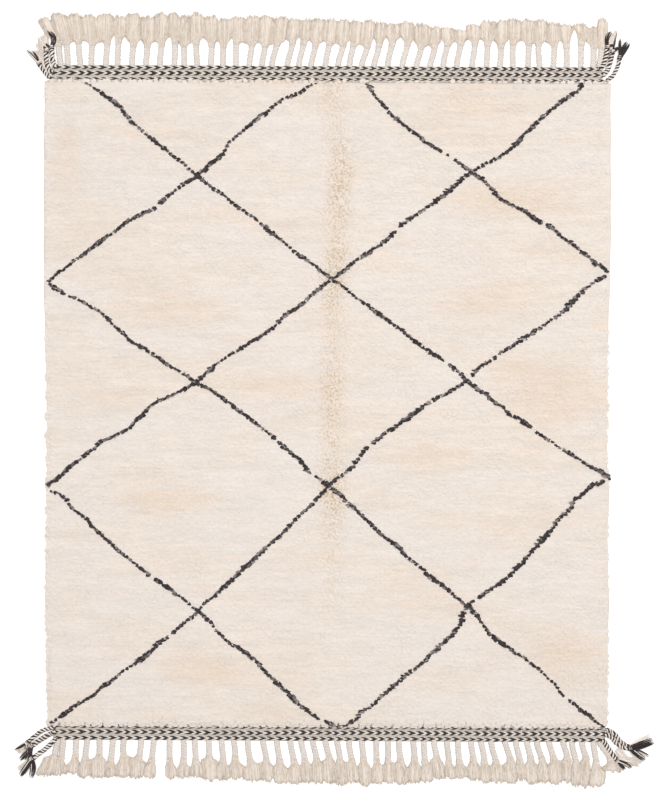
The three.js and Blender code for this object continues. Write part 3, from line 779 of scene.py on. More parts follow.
# Every line from its far end to its near one: its crossings and the main bends between them.
TRELLIS = [
    [(-702, 878), (-600, 812), (-545, 753), "far left", (-300, 558), (-125, 420), "upper middle",
     (110, 242), (250, 140), "right", (505, -54), (600, -120), (748, -213)],
    [(-40, 875), (-180, 793), (-290, 703), (-303, 673), "far left", (-495, 524), (-560, 494),
     (-785, 328)],
    [(87, 875), (95, 856), (173, 768), (245, 712), "far right", (463, 546), (562, 493), (745, 352)],
    [(682, 879), (676, 854), (570, 772), (477, 685), "far right", (290, 552), (180, 476), (150, 442),
     "upper middle", (-180, 187), (-290, 120), "left", (-505, -18), (-557, -77), (-640, -119),
     (-785, -235)],
    [(-780, 314), (-645, 238), (-555, 160), "left", (-308, 4), (-105, -155), (-80, -193),
     "lower middle", (210, -441), "near right", (445, -658), (562, -741), (652, -835), (737, -898)],
    [(743, 336), (696, 308), (608, 226), (397, 86), "right", (254, -15), (103, -124), (50, -186),
     "lower middle", (-141, -366), "near left", (-445, -642), (-572, -742), (-780, -893)],
    [(-780, -250), (-752, -262), (-579, -424), "near left", (-305, -655), (-220, -715), (-80, -852),
     (-12, -889), (26, -893)],
    [(735, -226), (680, -259), (567, -390), (477, -484), "near right", (352, -606), (320, -649),
     (48, -884), (12, -893)],
]
LINE_STEP = 26.0
LINE_STRAY = 1.9  # how far the small steps stray from a line, as a rule
BEAD_PITCH = 12.6
BEAD_LOCKS = 6
BEAD_SPREAD = 3.4
BEAD_SEED = 31
CHARCOAL = (33, 29, 31)
MIXED_WOOL = (158, 149, 145)  # locks in which ivory and charcoal fibres are spun together


def smooth_route(points, step):
    """Points every few mm on a smooth curve through the given ones."""
    given = np.array(points, float)
    padded = np.vstack([2 * given[0] - given[1], given, 2 * given[-1] - given[-2]])
    found = []
    for k in range(1, len(padded) - 2):
        a, b, c, d = padded[k - 1 : k + 3]
        parts = max(2, int(np.linalg.norm(c - b) / step))
        t = (np.arange(parts) / parts)[:, None]
        found.append(
            0.5 * ((2 * b) + (c - a) * t + (2 * a - 5 * b + 4 * c - d) * t**2
                   + (3 * b - a - 3 * c + d) * t**3)
        )
    found.append(given[-1:])
    return np.vstack(found)


trellis_points = []
trellis_edges = []
rng = np.random.default_rng(54)
for line in TRELLIS:
    first = len(trellis_points)
    charted = [CROSSINGS[place] if isinstance(place, str) else place for place in line]
    walked = smooth_route(charted, LINE_STEP)
    walked = walked + rng.normal(0, LINE_STRAY, walked.shape)
    trellis_points += [(x * MM, y * MM, 0.0) for x, y in walked]
    trellis_edges += [(k, k + 1) for k in range(first, len(trellis_points) - 1)]
trellis_mesh = bpy.data.meshes.new("trellis_lines")
trellis_mesh.from_pydata(trellis_points, trellis_edges, [])


def charcoal_finish():
    """Undyed brown-black wool, a little browner and paler where it is worn."""
    material, bench, shader = wool_material("charcoal_knots", sheen=0.05)
    tone = bench.attribute("tone")
    fibres = fibres_in(bench, bench.place(), 0.0016, 0.0028, 0.002)
    worn = wool_colour([value * 1.7 + 16 for value in CHARCOAL])
    tips = bench.remap(bench.attribute("along"), 0.62, 1.0, 0.0, 0.55)
    share = bench.times_plus(bench.times(fibres["Tone"], tone), 0.9, tips)
    dyed = bench.blend(share, wool_colour(CHARCOAL), worn)
    mixed = bench.blend(bench.remap(tone, 0.06, 0.3, 0.7, 0.0), dyed, wool_colour(MIXED_WOOL))
    dye(bench, shader, mixed, fibres["Height"], 0.0005)
    return material


def trellis_tree():
    """Dark knots strung along the trellis, each of a few locks that fall to one side."""
    bench = GrowingBench("trellis")
    lines = bench.step("MeshToCurve", {"Mesh": bench.given})[0]
    beads = bench.step("CurveToPoints", {"Curve": lines, "Length": BEAD_PITCH * MM}, mode="LENGTH")
    here = bench.here()

    # The yarn runs thick and thin along a line, and now and then a knot is missing.
    swell = bench.remap(bench.noise(here, 13.0, 2.0), 0.36, 0.64, 0.82, 1.22)
    bold = bench.times(swell, bench.random(0.85, 1.15, BEAD_SEED))
    there = bench.math("GREATER_THAN", bench.random(0.0, 1.0, BEAD_SEED + 1), 0.025)
    knots = bench.keep(beads["Points"], there)

    # The locks lie along their line. Where a line falls to the left, runs of them lie
    # flatter than it, nearly along the weft, most of all in the right half of the rug.
    seldom = bench.remap(bench.split(here)["X"], -0.1, 0.2, 0.66, 0.42)
    flat_run = bench.math("GREATER_THAN", bench.noise(here, 5.0, 1.0), seldom)
    leftward = bench.times_plus(flat_run, -0.36, -1.0)
    rightward = bench.math("GREATER_THAN", bench.split(beads["Tangent"])["X"], 0.0)
    change = bench.times(rightward, bench.math("SUBTRACT", 1.0, leftward))
    for label, value in (("bold", bold), ("way", bench.plus(leftward, change))):
        knots = bench.store(knots, label, value)
    copies = {"Geometry": knots, "Amount": BEAD_LOCKS}
    locks = bench.step("DuplicateElements", copies, domain="POINT")[0]
    bold = bench.recall("bold")
    turn = bench.times(bench.recall("way"), bench.random(0.7, 1.35, BEAD_SEED + 4))
    long = bench.times(bold, bench.random(0.85, 1.5, BEAD_SEED + 6))
    wide = bench.times(bold, bench.random(0.34, 0.6, BEAD_SEED + 5))

    # Each lock is set back by half its length, so the knot lies on the line.
    reach = bench.times(BEAD_SPREAD * MM, bold)
    across, along = (bench.times(bench.random(-1.0, 1.0, BEAD_SEED + k), reach) for k in (2, 3))
    back = bench.times(long, 0.0062)
    x = bench.times_plus(bench.math("SINE", turn), bench.times(back, -1.0), across)
    y = bench.times_plus(bench.math("COSINE", turn), back, along)
    locks = bench.store(locks, "turn", turn)
    locks = bench.store(locks, "lock_size", bench.xyz(wide, long, 1.3), "FLOAT_VECTOR")
    locks = bench.move(locks, Offset=bench.xyz(x, y))
    size = bench.recall("lock_size", "FLOAT_VECTOR")
    lift = bench.random(0.0006, 0.0016, BEAD_SEED + 7)
    laid = lay_locks(bench, locks, bench.recall("turn"), size, 0.12, lift, BEAD_SEED + 20)
    return bench.finish(laid, charcoal_finish())


trellis_knots = grow("trellis_knots", trellis_tree(), trellis_mesh)
lock_map(trellis_knots)
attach(trellis_knots, "root")
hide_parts("knotted_field")


# ---- End strips ----
# At each end the ground weave runs on past the pile as a narrow flat strip, packed
# tight so that the rows of knots can't slide off the warps.

# Both ends, in mm. The first and last plait stand at those places, and past them each corner
# has a plait of its own: its root, mouth, tip and reach. At the parting two brushes stay apart.
ENDS = [
    {
        "name": "far", "side": 1, "strip": (-777, 737), "field": FIELD_FAR,
        "inner": 880, "middle": 894.5, "outer": 910,
        "plaits": 41, "first": -741, "last": 712, "plait": 59, "parting": (659, 0, 51),
        "corners": ((-752, -757, -798, 1046), (729, 735, 737, 1052)), "pale": 0.6,
    },
    {
        "name": "near", "side": -1, "strip": (-773, 744), "field": -FIELD_NEAR,
        "inner": 902.5, "middle": 915.5, "outer": 932,
        "plaits": 44, "first": -751, "last": 712, "plait": 50, "parting": (-472, 15, 26),
        "corners": ((-760, -769, -796, 1040), (729, 758, 767, 1022)), "pale": 0.8,
    },
]
STRIP_THICKNESS = 4.0
ROW_HALF = 6.4
STRIP_WOOL = (240, 230, 219)
STRIP_FINISH = weave_finish("strip_weave", STRIP_WOOL, 0.0048, 0.0024)

for end in ENDS:
    innermost = end["side"] * (end["field"] - 1.0)
    outermost = end["side"] * (end["outer"] + ROW_HALF + 0.7)
    strip = flat_cloth(
        f"end_strip_{end['name']}",
        np.linspace(end["strip"][0], end["strip"][1], 180),
        np.linspace(min(innermost, outermost), max(innermost, outermost), 9),
        0.2,
        STRIP_THICKNESS,
        STRIP_FINISH,
        lambda x, y: (x, y + skew(x)),
    )
    strip_low = min(innermost, outermost) * MM - 0.01
    planar_map(strip, (-0.78, strip_low), (0.74, strip_low + 0.07))
    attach(strip, "root")
    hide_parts(f"fringe_{end['name']}")
    end["pieces"] = [strip]


# ---- Twined rows ----
# Three rows of two-colour twining bind each strip. In every cord a charcoal and an ivory
# yarn turn round each other between the warps, and cords of opposite twist lie side by
# side, so their stitches meet in arrowheads that point to the right.

STITCH_LEFT = 25.2
STITCH_RIGHT = 21.4
STITCH_STEPS = 8
ROWS = {
    "outer": {"cords": 2.3, "sway": 1.25, "lift": 1.35, "thick": 1.55},
    "middle": {"cords": 2.7, "sway": 1.5, "lift": 1.6, "thick": 1.8},
    "inner": {"cords": 1.6, "sway": 0.9, "lift": 0.9, "thick": 1.05},
}
ROW_SPANS = {
    "far_inner": (-783, 749), "far_middle": (-774, 738), "far_outer": (-764, 727),
    "near_inner": (-767, 748), "near_middle": (-773, 744), "near_outer": (-764, 737),
}


def spinning_tree(sides, wool):
    """Sweeps a round section along every line of the mesh that comes in."""
    bench = GrowingBench("spinning")
    lines = bench.step("MeshToCurve", {"Mesh": bench.given})[0]
    circle = {"Resolution": sides, "Radius": 1.0}
    section = bench.step("CurvePrimitiveCircle", circle, mode="RADIUS")["Curve"]
    rounded = bench.store(section, "around", bench.step("SplineParameter")["Factor"])
    swept = bench.step(
        "CurveToMesh",
        {"Curve": lines, "Profile Curve": rounded, "Scale": bench.recall("thick"), "Fill Caps": True},
    )
    whole = bench.step("RealizeInstances", {"Geometry": swept[0]})[0]
    return bench.finish(bench.step("SetShadeSmooth", {"Geometry": whole})[0], wool)


def yarn(parts, thick, tone):
    """One yarn: its path in mm, its half thickness along it and its tone."""
    path = np.column_stack(parts)
    return path, np.broadcast_to(np.asarray(thick, float), (len(path),)), tone


def run_along(path):
    """How far along a path each of its points lies."""
    return np.concatenate([[0], np.cumsum(np.linalg.norm(np.diff(path, axis=0), axis=1))])


def spin(name, yarns, wool, sides):
    """Makes one piece from many yarns and gives each yarn a strip of the piece's map."""
    paths, halves, tones = zip(*yarns)
    counts = [len(path) for path in paths]
    total = sum(counts)
    run = np.concatenate([run_along(path) for path in paths])
    lasts = np.cumsum(counts) - 1
    lengths = run[lasts]
    girth = 2 * math.pi * np.mean([half.mean() for half in halves])
    columns = max(1, round(math.sqrt(len(yarns) * girth / lengths.mean())))
    rows = math.ceil(len(yarns) / columns)
    cells = np.arange(len(yarns))
    edges = np.delete(np.arange(total), lasts)
    mesh = bpy.data.meshes.new(name)
    mesh.vertices.add(total)
    mesh.vertices.foreach_set("co", (np.vstack(paths) * MM).astype(np.float32).ravel())
    mesh.edges.add(len(edges))
    mesh.edges.foreach_set("vertices", np.column_stack([edges, edges + 1]).ravel())
    mesh.update()
    store(mesh, "thick", np.concatenate(halves) * MM)
    store(mesh, "tone", np.repeat(tones, counts))
    store(mesh, "along", run / np.repeat(lengths, counts))
    store(mesh, "run", run * MM)
    store(mesh, "cell_x", np.repeat(cells % columns / columns, counts))
    store(mesh, "cell_y", np.repeat(cells // columns / rows, counts))
    piece = grow(name, spinning_tree(sides, wool), mesh)
    made = piece.data
    corners = read(made.loops, "vertex_index", kind=np.int32)
    sizes = read(made.polygons, "loop_total", kind=np.int32)
    labels = ("around", "along", "cell_x", "cell_y")
    stored = [read(made.attributes[label].data, "value")[corners] for label in labels]
    around, along, cell_x, cell_y = stored
    first = np.cumsum(sizes) - sizes
    across = np.maximum.reduceat(around, first) - np.minimum.reduceat(around, first)
    spread = np.maximum.reduceat(along, first) - np.minimum.reduceat(along, first)
    cap = np.repeat(spread < 1e-6, sizes)
    wraps = ~cap & np.repeat(across > 0.5, sizes) & (around < 0.25)
    around = np.where(wraps, around + 1.0, around)
    along = np.where(cap, along * 0.98 + 0.02 * np.sin(math.tau * around) ** 2, along)
    u = cell_x + (0.02 + 0.96 * along) / columns
    v = cell_y + (0.06 + 0.88 * around) / rows
    set_map(made, np.column_stack([u, v]))
    return piece


def yarn_finish(name, light, deep, ply=0.0075, depth=0.0006, sheen=0.2, groove_shade=0.35):
    """Spun wool: two plies wind along it, with fibres lying along each ply."""
    material, bench, shader = wool_material(name, sheen)
    run, around, tone = (bench.attribute(label) for label in ("run", "around", "tone"))
    turn = bench.plus(bench.math("DIVIDE", run, ply), bench.times(around, 2.0))
    groove = bench.math("ABSOLUTE", bench.math("SINE", bench.times(turn, math.pi)))
    place = bench.xyz(run, bench.times(around, 0.012), bench.times(tone, 3.1))
    fibres = fibres_in(bench, place, 0.006, 0.0012, 0.002)
    share = bench.times_plus(fibres["Tone"], 0.4, bench.times(tone, 0.6))
    body = bench.blend(share, wool_colour(deep), wool_colour(light))
    shade = bench.remap(groove, 0.0, 0.5, groove_shade, 0.0)
    height = bench.times_plus(fibres["Height"], 0.35, groove)
    dye(bench, shader, bench.blend(shade, body, wool_colour(deep, 0.72)), height, depth)
    return material


CHARCOAL_LIGHT = (76, 66, 66)
CHARCOAL_DEEP = (36, 30, 33)
IVORY_LIGHT = (240, 231, 222)
IVORY_DEEP = (224, 211, 198)
DARK_YARN = yarn_finish("charcoal_yarn_wool", CHARCOAL_LIGHT, CHARCOAL_DEEP, sheen=0.08)
PALE_YARN = yarn_finish("ivory_yarn_wool", IVORY_LIGHT, IVORY_DEEP, depth=0.0004, groove_shade=0.2)


def twined_cord(x0, x1, centre, hand, seed, size):
    """The two yarns of one cord: charcoal and ivory, turning round each other."""
    rng = np.random.default_rng(seed)
    turns = (x1 - x0) / ((STITCH_LEFT + STITCH_RIGHT) / 2)
    count = int(turns * STITCH_STEPS)
    x = np.linspace(x0, x1, count)
    u = (x - x0) / (x1 - x0)
    pitch = STITCH_LEFT + (STITCH_RIGHT - STITCH_LEFT) * u
    step = np.gradient(x)
    angle = np.cumsum(math.tau / pitch * step)
    knots = np.linspace(0, 1, int(turns))
    angle = angle + np.interp(u, knots, rng.normal(0, 0.45, len(knots)))
    bulge = np.interp(u, knots, rng.uniform(0.72, 1.16, len(knots)))
    drift = np.interp(u, knots[::3], rng.normal(0, 0.7, len(knots[::3])))
    base = STRIP_THICKNESS + 0.2 + size["lift"] + size["thick"]
    made = []
    for phase in (0.0, math.pi):
        y = centre + drift + hand * size["sway"] * np.cos(angle + phase) + skew(x)
        z = base + size["lift"] * np.sin(angle + phase)
        full, swell = (1.12, 0.36) if phase == 0.0 else (0.96, 0.12)
        thick = size["thick"] * full * bulge * (1.0 + swell * np.sin(angle + phase))
        made.append(yarn([x, y, z], thick, rng.uniform(0.2, 0.8)))
    return made


row_yarns = {}
for number, (row_name, (x0, x1)) in enumerate(ROW_SPANS.items()):
    end_name, kind = row_name.split("_")
    end = ENDS[0] if end_name == "far" else ENDS[1]
    middle = end["side"] * end[kind]
    size = ROWS[kind]
    cords = [twined_cord(x0, x1, middle + hand * size["cords"], hand, number, size) for hand in (1, -1)]
    row_yarns[row_name] = {"charcoal": [cord[0] for cord in cords], "ivory": [cord[1] for cord in cords]}


# ---- Corner tails ----
# Past the strip the yarns of every twined row are twisted into a rope, knotted once, and
# left as a loose tassel of charcoal and ivory locks, three tails at each corner.

ROPE_PITCH = 20.0
ROPE_LAY = 4.2
ROPE_YARN = 3.2
KNOT_WRAP = 5.8
ROPE_REST = ROPE_LAY + ROPE_YARN + 0.2
ROPE_BEAT = 9.0  # the yarns swell and slacken about this often
LOCK_STRANDS = 9
LOCK_STRAND = 1.6
LOCK_HEIGHTS = {"dark": (11.5, 9.0), "pale": (6.5, 4.5)}  # at the knot and at the tip

# Each tail: the rope's route, then its locks: colour, where the lock ends, half its
# width, how far it bows to the left of its way and, off the rope's end, where it starts.
TAILS = {
    "far_inner_left": (
        [(-783, 884), (-792, 896), (-803, 910), (-810, 922)],
        [("dark", -846, 961, 2.2, 0), ("pale", -836, 960, 6.0, 0), ("pale", -822, 962, 9.0, 0),
         ("dark", -828, 957, 1.6, -3), ("pale", -812, 962, 9.0, 0, -786, 896),
         ("pale", -800, 966, 6.0, 0, -790, 900)],
    ),
    "far_middle_left": (
        [(-774, 898), (-785, 908), (-791, 932), (-791, 957)],
        [("pale", -818, 982, 9.0, 2), ("pale", -808, 1000, 9.0, 3), ("pale", -796, 1006, 7.0, 0),
         ("dark", -798, 971, 2.4, 0), ("pale", -784, 966, 4.0, 0, -780, 925)],
    ),
    "far_outer_left": (
        [(-764, 913.5), (-771, 923), (-775, 945), (-776, 966)],
        [("dark", -784, 1012, 6.8, -10), ("dark", -792, 978, 2.4, 3), ("pale", -776, 1006, 5.0, -2),
         ("pale", -768, 1002, 5.0, 0)],
    ),
    "far_inner_right": (
        [(749, 876), (765, 889), (778, 913), (784, 938)],
        [("dark", 809, 981, 6.4, 2), ("dark", 785, 990, 3.8, 0), ("dark", 797, 972, 5.6, 0),
         ("pale", 801, 988, 3.0, 0)],
    ),
    "far_middle_right": (
        [(738, 891), (751, 905), (759, 932), (764, 954)],
        [("pale", 773, 1016, 4.6, 0), ("pale", 763, 1012, 5.0, 2), ("dark", 777, 1010, 1.5, 1),
         ("dark", 782, 968, 3.4, 0)],
    ),
    "far_outer_right": (
        [(729, 906.5), (740, 922), (747, 946), (750, 966)],
        [("dark", 760, 1011, 5.4, 6), ("pale", 752, 1008, 5.0, 0), ("dark", 770, 974, 3.0, 0),
         ("pale", 757, 958, 3.4, 0, 744, 915)],
    ),
    "near_inner_left": (
        [(-767, -898.5), (-800, -909), (-824, -926), (-842, -942)],
        [("dark", -878, -962, 2.4, 0), ("pale", -874, -968, 7.0, 0), ("pale", -862, -976, 8.0, 0),
         ("dark", -848, -962, 2.4, 0)],
    ),
    "near_middle_left": (
        [(-765, -911.5), (-800, -930), (-829, -950)],
        [("dark", -864, -990, 5.6, 3), ("dark", -834, -990, 6.6, -5), ("pale", -854, -984, 5.0, 0),
         ("dark", -846, -992, 4.4, 0)],
    ),
    "near_outer_left": (
        [(-764, -932), (-790, -957), (-812, -974), (-829, -986)],
        [("dark", -862, -1034, 5.4, 0), ("dark", -834, -1040, 5.6, 5), ("pale", -870, -1020, 7.0, 2),
         ("pale", -852, -1030, 5.0, 0)],
    ),
    "near_inner_right": (
        [(748, -905.8), (769, -917), (782, -934), (796, -947), (810, -955)],
        [("dark", 876, -936, 10.5, 0), ("pale", 868, -923, 4.0, 3), ("pale", 858, -926, 3.0, 3)],
    ),
    "near_middle_right": (
        [(744, -918.9), (762, -928), (777, -945), (795, -956), (810, -958)],
        [("dark", 853, -990, 5.0, 0), ("pale", 866, -982, 6.0, 2), ("pale", 846, -998, 7.0, 0),
         ("dark", 864, -976, 1.6, 3), ("pale", 806, -996, 9.0, 0, 776, -962)],
    ),
    "near_outer_right": (
        [(737, -935.3), (746, -948), (757, -965), (767, -979), (776, -990)],
        [("dark", 798, -1017, 5.2, 0), ("dark", 817, -1013, 3.6, 3), ("pale", 840, -1002, 9.0, 4),
         ("pale", 822, -1006, 8.0, 0)],
    ),
}


def lock_strands(start, tip, half, bow, rng, heights):
    """A bundle of strands from a knot to a tip, full in its middle and drawn together."""
    start, tip = np.array(start, float), np.array(tip, float)
    way = tip - start
    length = np.linalg.norm(way)
    way /= length
    aside = np.array([-way[1], way[0]])
    t = np.linspace(0, 1, max(5, min(9, int(length / 7))))
    strands = []
    for _ in range(int(LOCK_STRANDS * (0.5 + half / 4.0))):
        share = rng.uniform(-1, 1)
        reach = length * rng.uniform(0.84, 1.03)
        lean = half * share * (0.35 + 0.85 * np.sin(math.pi * (0.15 + 0.6 * t)))
        curl = rng.uniform(0.2, 0.9) * np.sin(t * rng.uniform(3, 8) + rng.uniform(0, 6))
        side = lean + curl * t + bow * np.sin(math.pi * t)
        flat = start + way * (t * reach)[:, None] + aside * side[:, None]
        height = heights[0] + (heights[1] - heights[0]) * t
        height = height + rng.uniform(-1, 1) * half * 0.42 * (1 - 0.5 * t)
        taper = LOCK_STRAND * rng.uniform(0.85, 1.15) * (1 - 0.65 * t**3)
        taper[-1] *= 0.4
        strands.append(yarn([flat, np.maximum(height, taper + 0.15)], taper, rng.uniform(0, 1)))
    return strands


for number, (tail_name, (route, locks)) in enumerate(TAILS.items()):
    rng = np.random.default_rng(700 + number)
    row_name = tail_name.rsplit("_", 1)[0]
    yarns = row_yarns[row_name]
    route = smooth_route(route, 1.9)
    run = run_along(route)
    ahead = np.gradient(route, axis=0)
    ahead /= np.linalg.norm(ahead, axis=1)[:, None]
    aside = np.column_stack([-ahead[:, 1], ahead[:, 0]])
    height = ROPE_REST + 3.6 * np.clip(1 - run / 22, 0, 1) ** 2
    small = 0.86 if "inner" in row_name else 1.0
    beats = np.arange(0, run[-1] + ROPE_BEAT, ROPE_BEAT)
    slack = np.interp(run, beats, rng.normal(0, 0.55, len(beats)))
    for k in range(4):
        angle = math.tau * run / ROPE_PITCH + k * math.pi / 2 + slack
        flat = route + aside * (ROPE_LAY * small * np.cos(angle))[:, None]
        thick = ROPE_YARN * small * np.interp(run, beats, rng.uniform(0.75, 1.2, len(beats)))
        z = np.maximum(height * small + ROPE_LAY * small * np.sin(angle), thick + 0.15)
        yarns["ivory" if k % 2 else "charcoal"].append(yarn([flat, z], thick, rng.uniform(0.2, 0.8)))

    # The knot: two yarns wound round the rope's end.
    heart = np.array([*route[-1], ROPE_REST + 0.6])
    axis = np.array([*ahead[-1], 0.0])
    flank = np.array([*aside[-1], 0.0])
    for k, colour in enumerate(("charcoal", "ivory")):
        angle = np.linspace(0, math.tau * 2.2, 22) + k * math.pi
        shift = np.linspace(-4.4, 4.4, 22) + k * 2.0
        loop = heart + axis * shift[:, None] + flank * (KNOT_WRAP * np.cos(angle))[:, None]
        loop[:, 2] = np.maximum(loop[:, 2] + KNOT_WRAP * 0.9 * np.sin(angle), 2.3)
        yarns[colour].append(yarn([loop], 2.1, rng.uniform(0.2, 0.8)))

    for colour, x, y, half, bow, *start in locks:
        start = start or route[-1] + ahead[-1] * 1.5
        for strand in lock_strands(start, (x, y), half, bow, rng, LOCK_HEIGHTS[colour]):
            dark = colour == "dark" and rng.uniform() > 0.1
            yarns["charcoal" if dark else "ivory"].append(strand)

for row_name, yarns in row_yarns.items():
    for kind, wool, slot in (("charcoal", DARK_YARN, "charcoal_yarn"), ("ivory", PALE_YARN, "warp_yarn")):
        piece = spin(f"twining_{row_name}_{kind}", yarns[kind], wool, 5)
        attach(piece, "root")
        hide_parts(f"twining_{row_name}")


# ---- Plaits ----
# Outside the last twined row the warps of each end are gathered in groups and plaited in
# three strands. The plaits lie flat on the floor and lean a little, each its own way.

# At fractions along an end: how far a plait's root stands off its even place, its mouth off
# its root and its tip off its mouth, and how far out on the rug the tip reaches, in mm.
DRIFT = {
    "far": [
        (0.0, 8, -3, -23, 1062), (0.08, 1, 1, -2, 1058), (0.18, 9, 3, 0, 1057),
        (0.25, 3, 0, -3, 1063), (0.3, 0, 2, 2, 1050), (0.4, -8, 11, 9, 1052),
        (0.5, -11, 12, 4, 1049), (0.6, -25, 15, 3, 1041), (0.68, -17, 12, 0, 1035),
        (0.75, -14, 14, -2, 1026), (0.82, 0, 1, 2, 1050), (0.9, 1, 0, 0, 1050),
        (1.0, 0, 1, 0, 1030),
    ],
    "near": [
        (0.0, 6, -5, -9, 1038), (0.11, 5, -1, -2, 1042), (0.17, 20, -3, -3, 1041),
        (0.2, 27, 2, 0, 1046), (0.3, 34, 4, 2, 1050), (0.4, 50, 10, 6, 1054),
        (0.5, 44, 9, 3, 1061), (0.58, 48, 3, 0, 1059), (0.7, 41, 6, 5, 1045),
        (0.8, 28, 15, 9, 1052), (0.92, 16, 11, 6, 1056), (1.0, 0, 8, -8, 1062),
    ],
}
PLAIT_LENGTHWISE = 25.0  # one full turn of the plait
PLAIT_SWING = 5.4
PLAIT_RISE = 1.8
PLAIT_STRAND = 4.0
PLAIT_STEPS = 16
WARP_LIGHT = (227, 219, 212)
WARP_DEEP = (208, 197, 188)
WARP_WOOL = yarn_finish("warp_wool", WARP_LIGHT, WARP_DEEP, ply=0.011, depth=0.0007)


def chance(seed):
    """A repeatable number from 0 to 1 for any seed."""
    wide = math.sin(seed * 12.9898 + 4.1414) * 43758.5453
    return wide - math.floor(wide)


def drift(name, at, column):
    """One column of the drift table at a fraction along an end."""
    table = DRIFT[name]
    ahead = next(k for k, row in enumerate(table) if row[0] >= at)
    if ahead == 0:
        return table[0][column]
    before, after = table[ahead - 1], table[ahead]
    t = (at - before[0]) / (after[0] - before[0])
    t = t * t * (3 - 2 * t)
    return before[column] + (after[column] - before[column]) * t


def plait_lines(end):
    """Root, opening, brush tip and reach of every plait of an end, in mm."""
    lines = []
    last = end["plaits"] - 1
    out = end["outer"] + ROW_HALF + 0.7
    for k in range(last + 1):
        at = k / last
        even = end["first"] + (end["last"] - end["first"]) * at
        loose = 0 if k in (0, last) else 7
        seed = k * 5 + end["side"]
        root = even + drift(end["name"], at, 1) + loose * (chance(seed) - 0.5)
        opening = root + drift(end["name"], at, 2) + loose * (chance(seed + 1) - 0.5)
        tip = opening + drift(end["name"], at, 3) + loose * (chance(seed + 2) - 0.5)
        reach = drift(end["name"], at, 4) + 1.6 * loose * (chance(seed + 3) - 0.5)
        mouth = out + end["plait"] + (chance(k + 40 * end["side"]) - 0.5) * 14
        lines.append((root, opening, tip, reach, out, mouth))
    corners = [(*bundle, out, out + end["plait"] - 4) for bundle in end["corners"]]
    return [corners[0], *lines, corners[1]]


for end in ENDS:
    end["lines"] = plait_lines(end)
    rng = np.random.default_rng(90 + end["side"])
    strands = []
    for root, opening, tip, reach, out, mouth in end["lines"]:
        t = np.linspace(0, 1, PLAIT_STEPS)
        length = mouth - out + 8
        bow = rng.uniform(-1.6, 1.6)
        middle = root + (opening - root) * t * t * (3 - 2 * t) + bow * np.sin(math.pi * t)
        way = out - 4 + length * t
        full = np.interp(t, [0, 0.12, 0.8, 1], [0.8, 1.0, 1.0, 1.2])
        start = rng.uniform(0, math.tau)
        for k in range(3):
            phase = start + math.tau * (length * t / PLAIT_LENGTHWISE + k / 3)
            x = middle + PLAIT_SWING * full * np.sin(phase)
            z = PLAIT_RISE + PLAIT_STRAND + 0.2 + PLAIT_RISE * np.sin(2 * phase)
            z = np.maximum(z * np.interp(t, [0, 0.12, 1], [0.62, 1, 1]), PLAIT_STRAND * full + 0.15)
            y = end["side"] * way + skew(x)
            strands.append(yarn([x, y, z], PLAIT_STRAND * full, rng.uniform(0.25, 0.8)))
    piece = spin(f"plaits_{end['name']}", strands, WARP_WOOL, 6)
    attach(piece, "root")
    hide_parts(f"fringe_{end['name']}")
    end["pieces"].append(piece)


# ---- Brushes ----
# Each plait ends in a brush of loose warp wool. The brushes spread until they touch and
# make one ragged band, paler at its tips, with painted shade that makes it darker and yellower in the seams
# between two brushes.

BRUSH_STRANDS = 32
BRUSH_STEPS = (0.0, 0.08, 0.15, 0.23, 0.36, 0.54, 0.77, 1.0)
MAT_SHARES = np.linspace(-1, 1, 11)
MAT_STEPS = np.array((0.0, 0.07, 0.13, 0.18, 0.24, 0.34, 0.5, 0.68, 0.85, 1.0))
ARCH = (8.0, 30.0)  # how far along, at least and at most, a brush takes to reach the next
PLAIT_HALF = 8.0
PARTING_REACH = 22.0  # a seam this near to an end's parting is the parted one
TIP_ROUND = 0.13  # how much shorter a brush is at its sides than in its middle
MAT_FOOT = 0.3
BRUSH_DEEP = (202, 187, 170)
BRUSH_PALE = (229, 219, 210)
SEAM_WOOL = (203, 187, 163)
CORNER_SPREAD = {"far": (-16, 14), "near": (-22, 26)}


def brush_finish():
    """Loose unspun wool: pale, in fine locks that lie side by side."""
    material, bench, shader = wool_material("brush_wool", sheen=0.2)
    place = bench.place()
    locks = fibres_in(bench, place, 0.003, 0.011, 0.02)
    clumps = fibres_in(bench, place, 0.008, 0.013, 0.02)
    share = bench.times_plus(locks["Tone"], 0.5, bench.times(bench.attribute("tone"), 0.5))
    body = bench.blend(share, wool_colour(BRUSH_DEEP), wool_colour(BRUSH_PALE))
    warm = bench.remap(clumps["Height"], 0.5, 0.72, 0.0, 0.55)
    fibres = fibres_in(bench, place, 0.0011, 0.016, 0.004)
    colour = bench.blend(warm, body, wool_colour(SEAM_WOOL))
    dye(bench, shader, colour, fibres["Height"], 0.0004)
    return material


BRUSH_WOOL = brush_finish()


def brush_edges(end, k):
    """How far a brush may spread to both sides at its tip."""
    lines = end["lines"]
    edges = []
    for side in (-1, 1):
        if 0 <= k + side < len(lines):
            tip = (lines[k + side][2] - lines[k][2]) / 2
            if abs(lines[k][2] + tip - end["parting"][0]) < PARTING_REACH:
                tip -= side * end["parting"][1]
        else:
            tip = CORNER_SPREAD[end["name"]][(side + 1) // 2]
        edges.append(tip)
    return edges


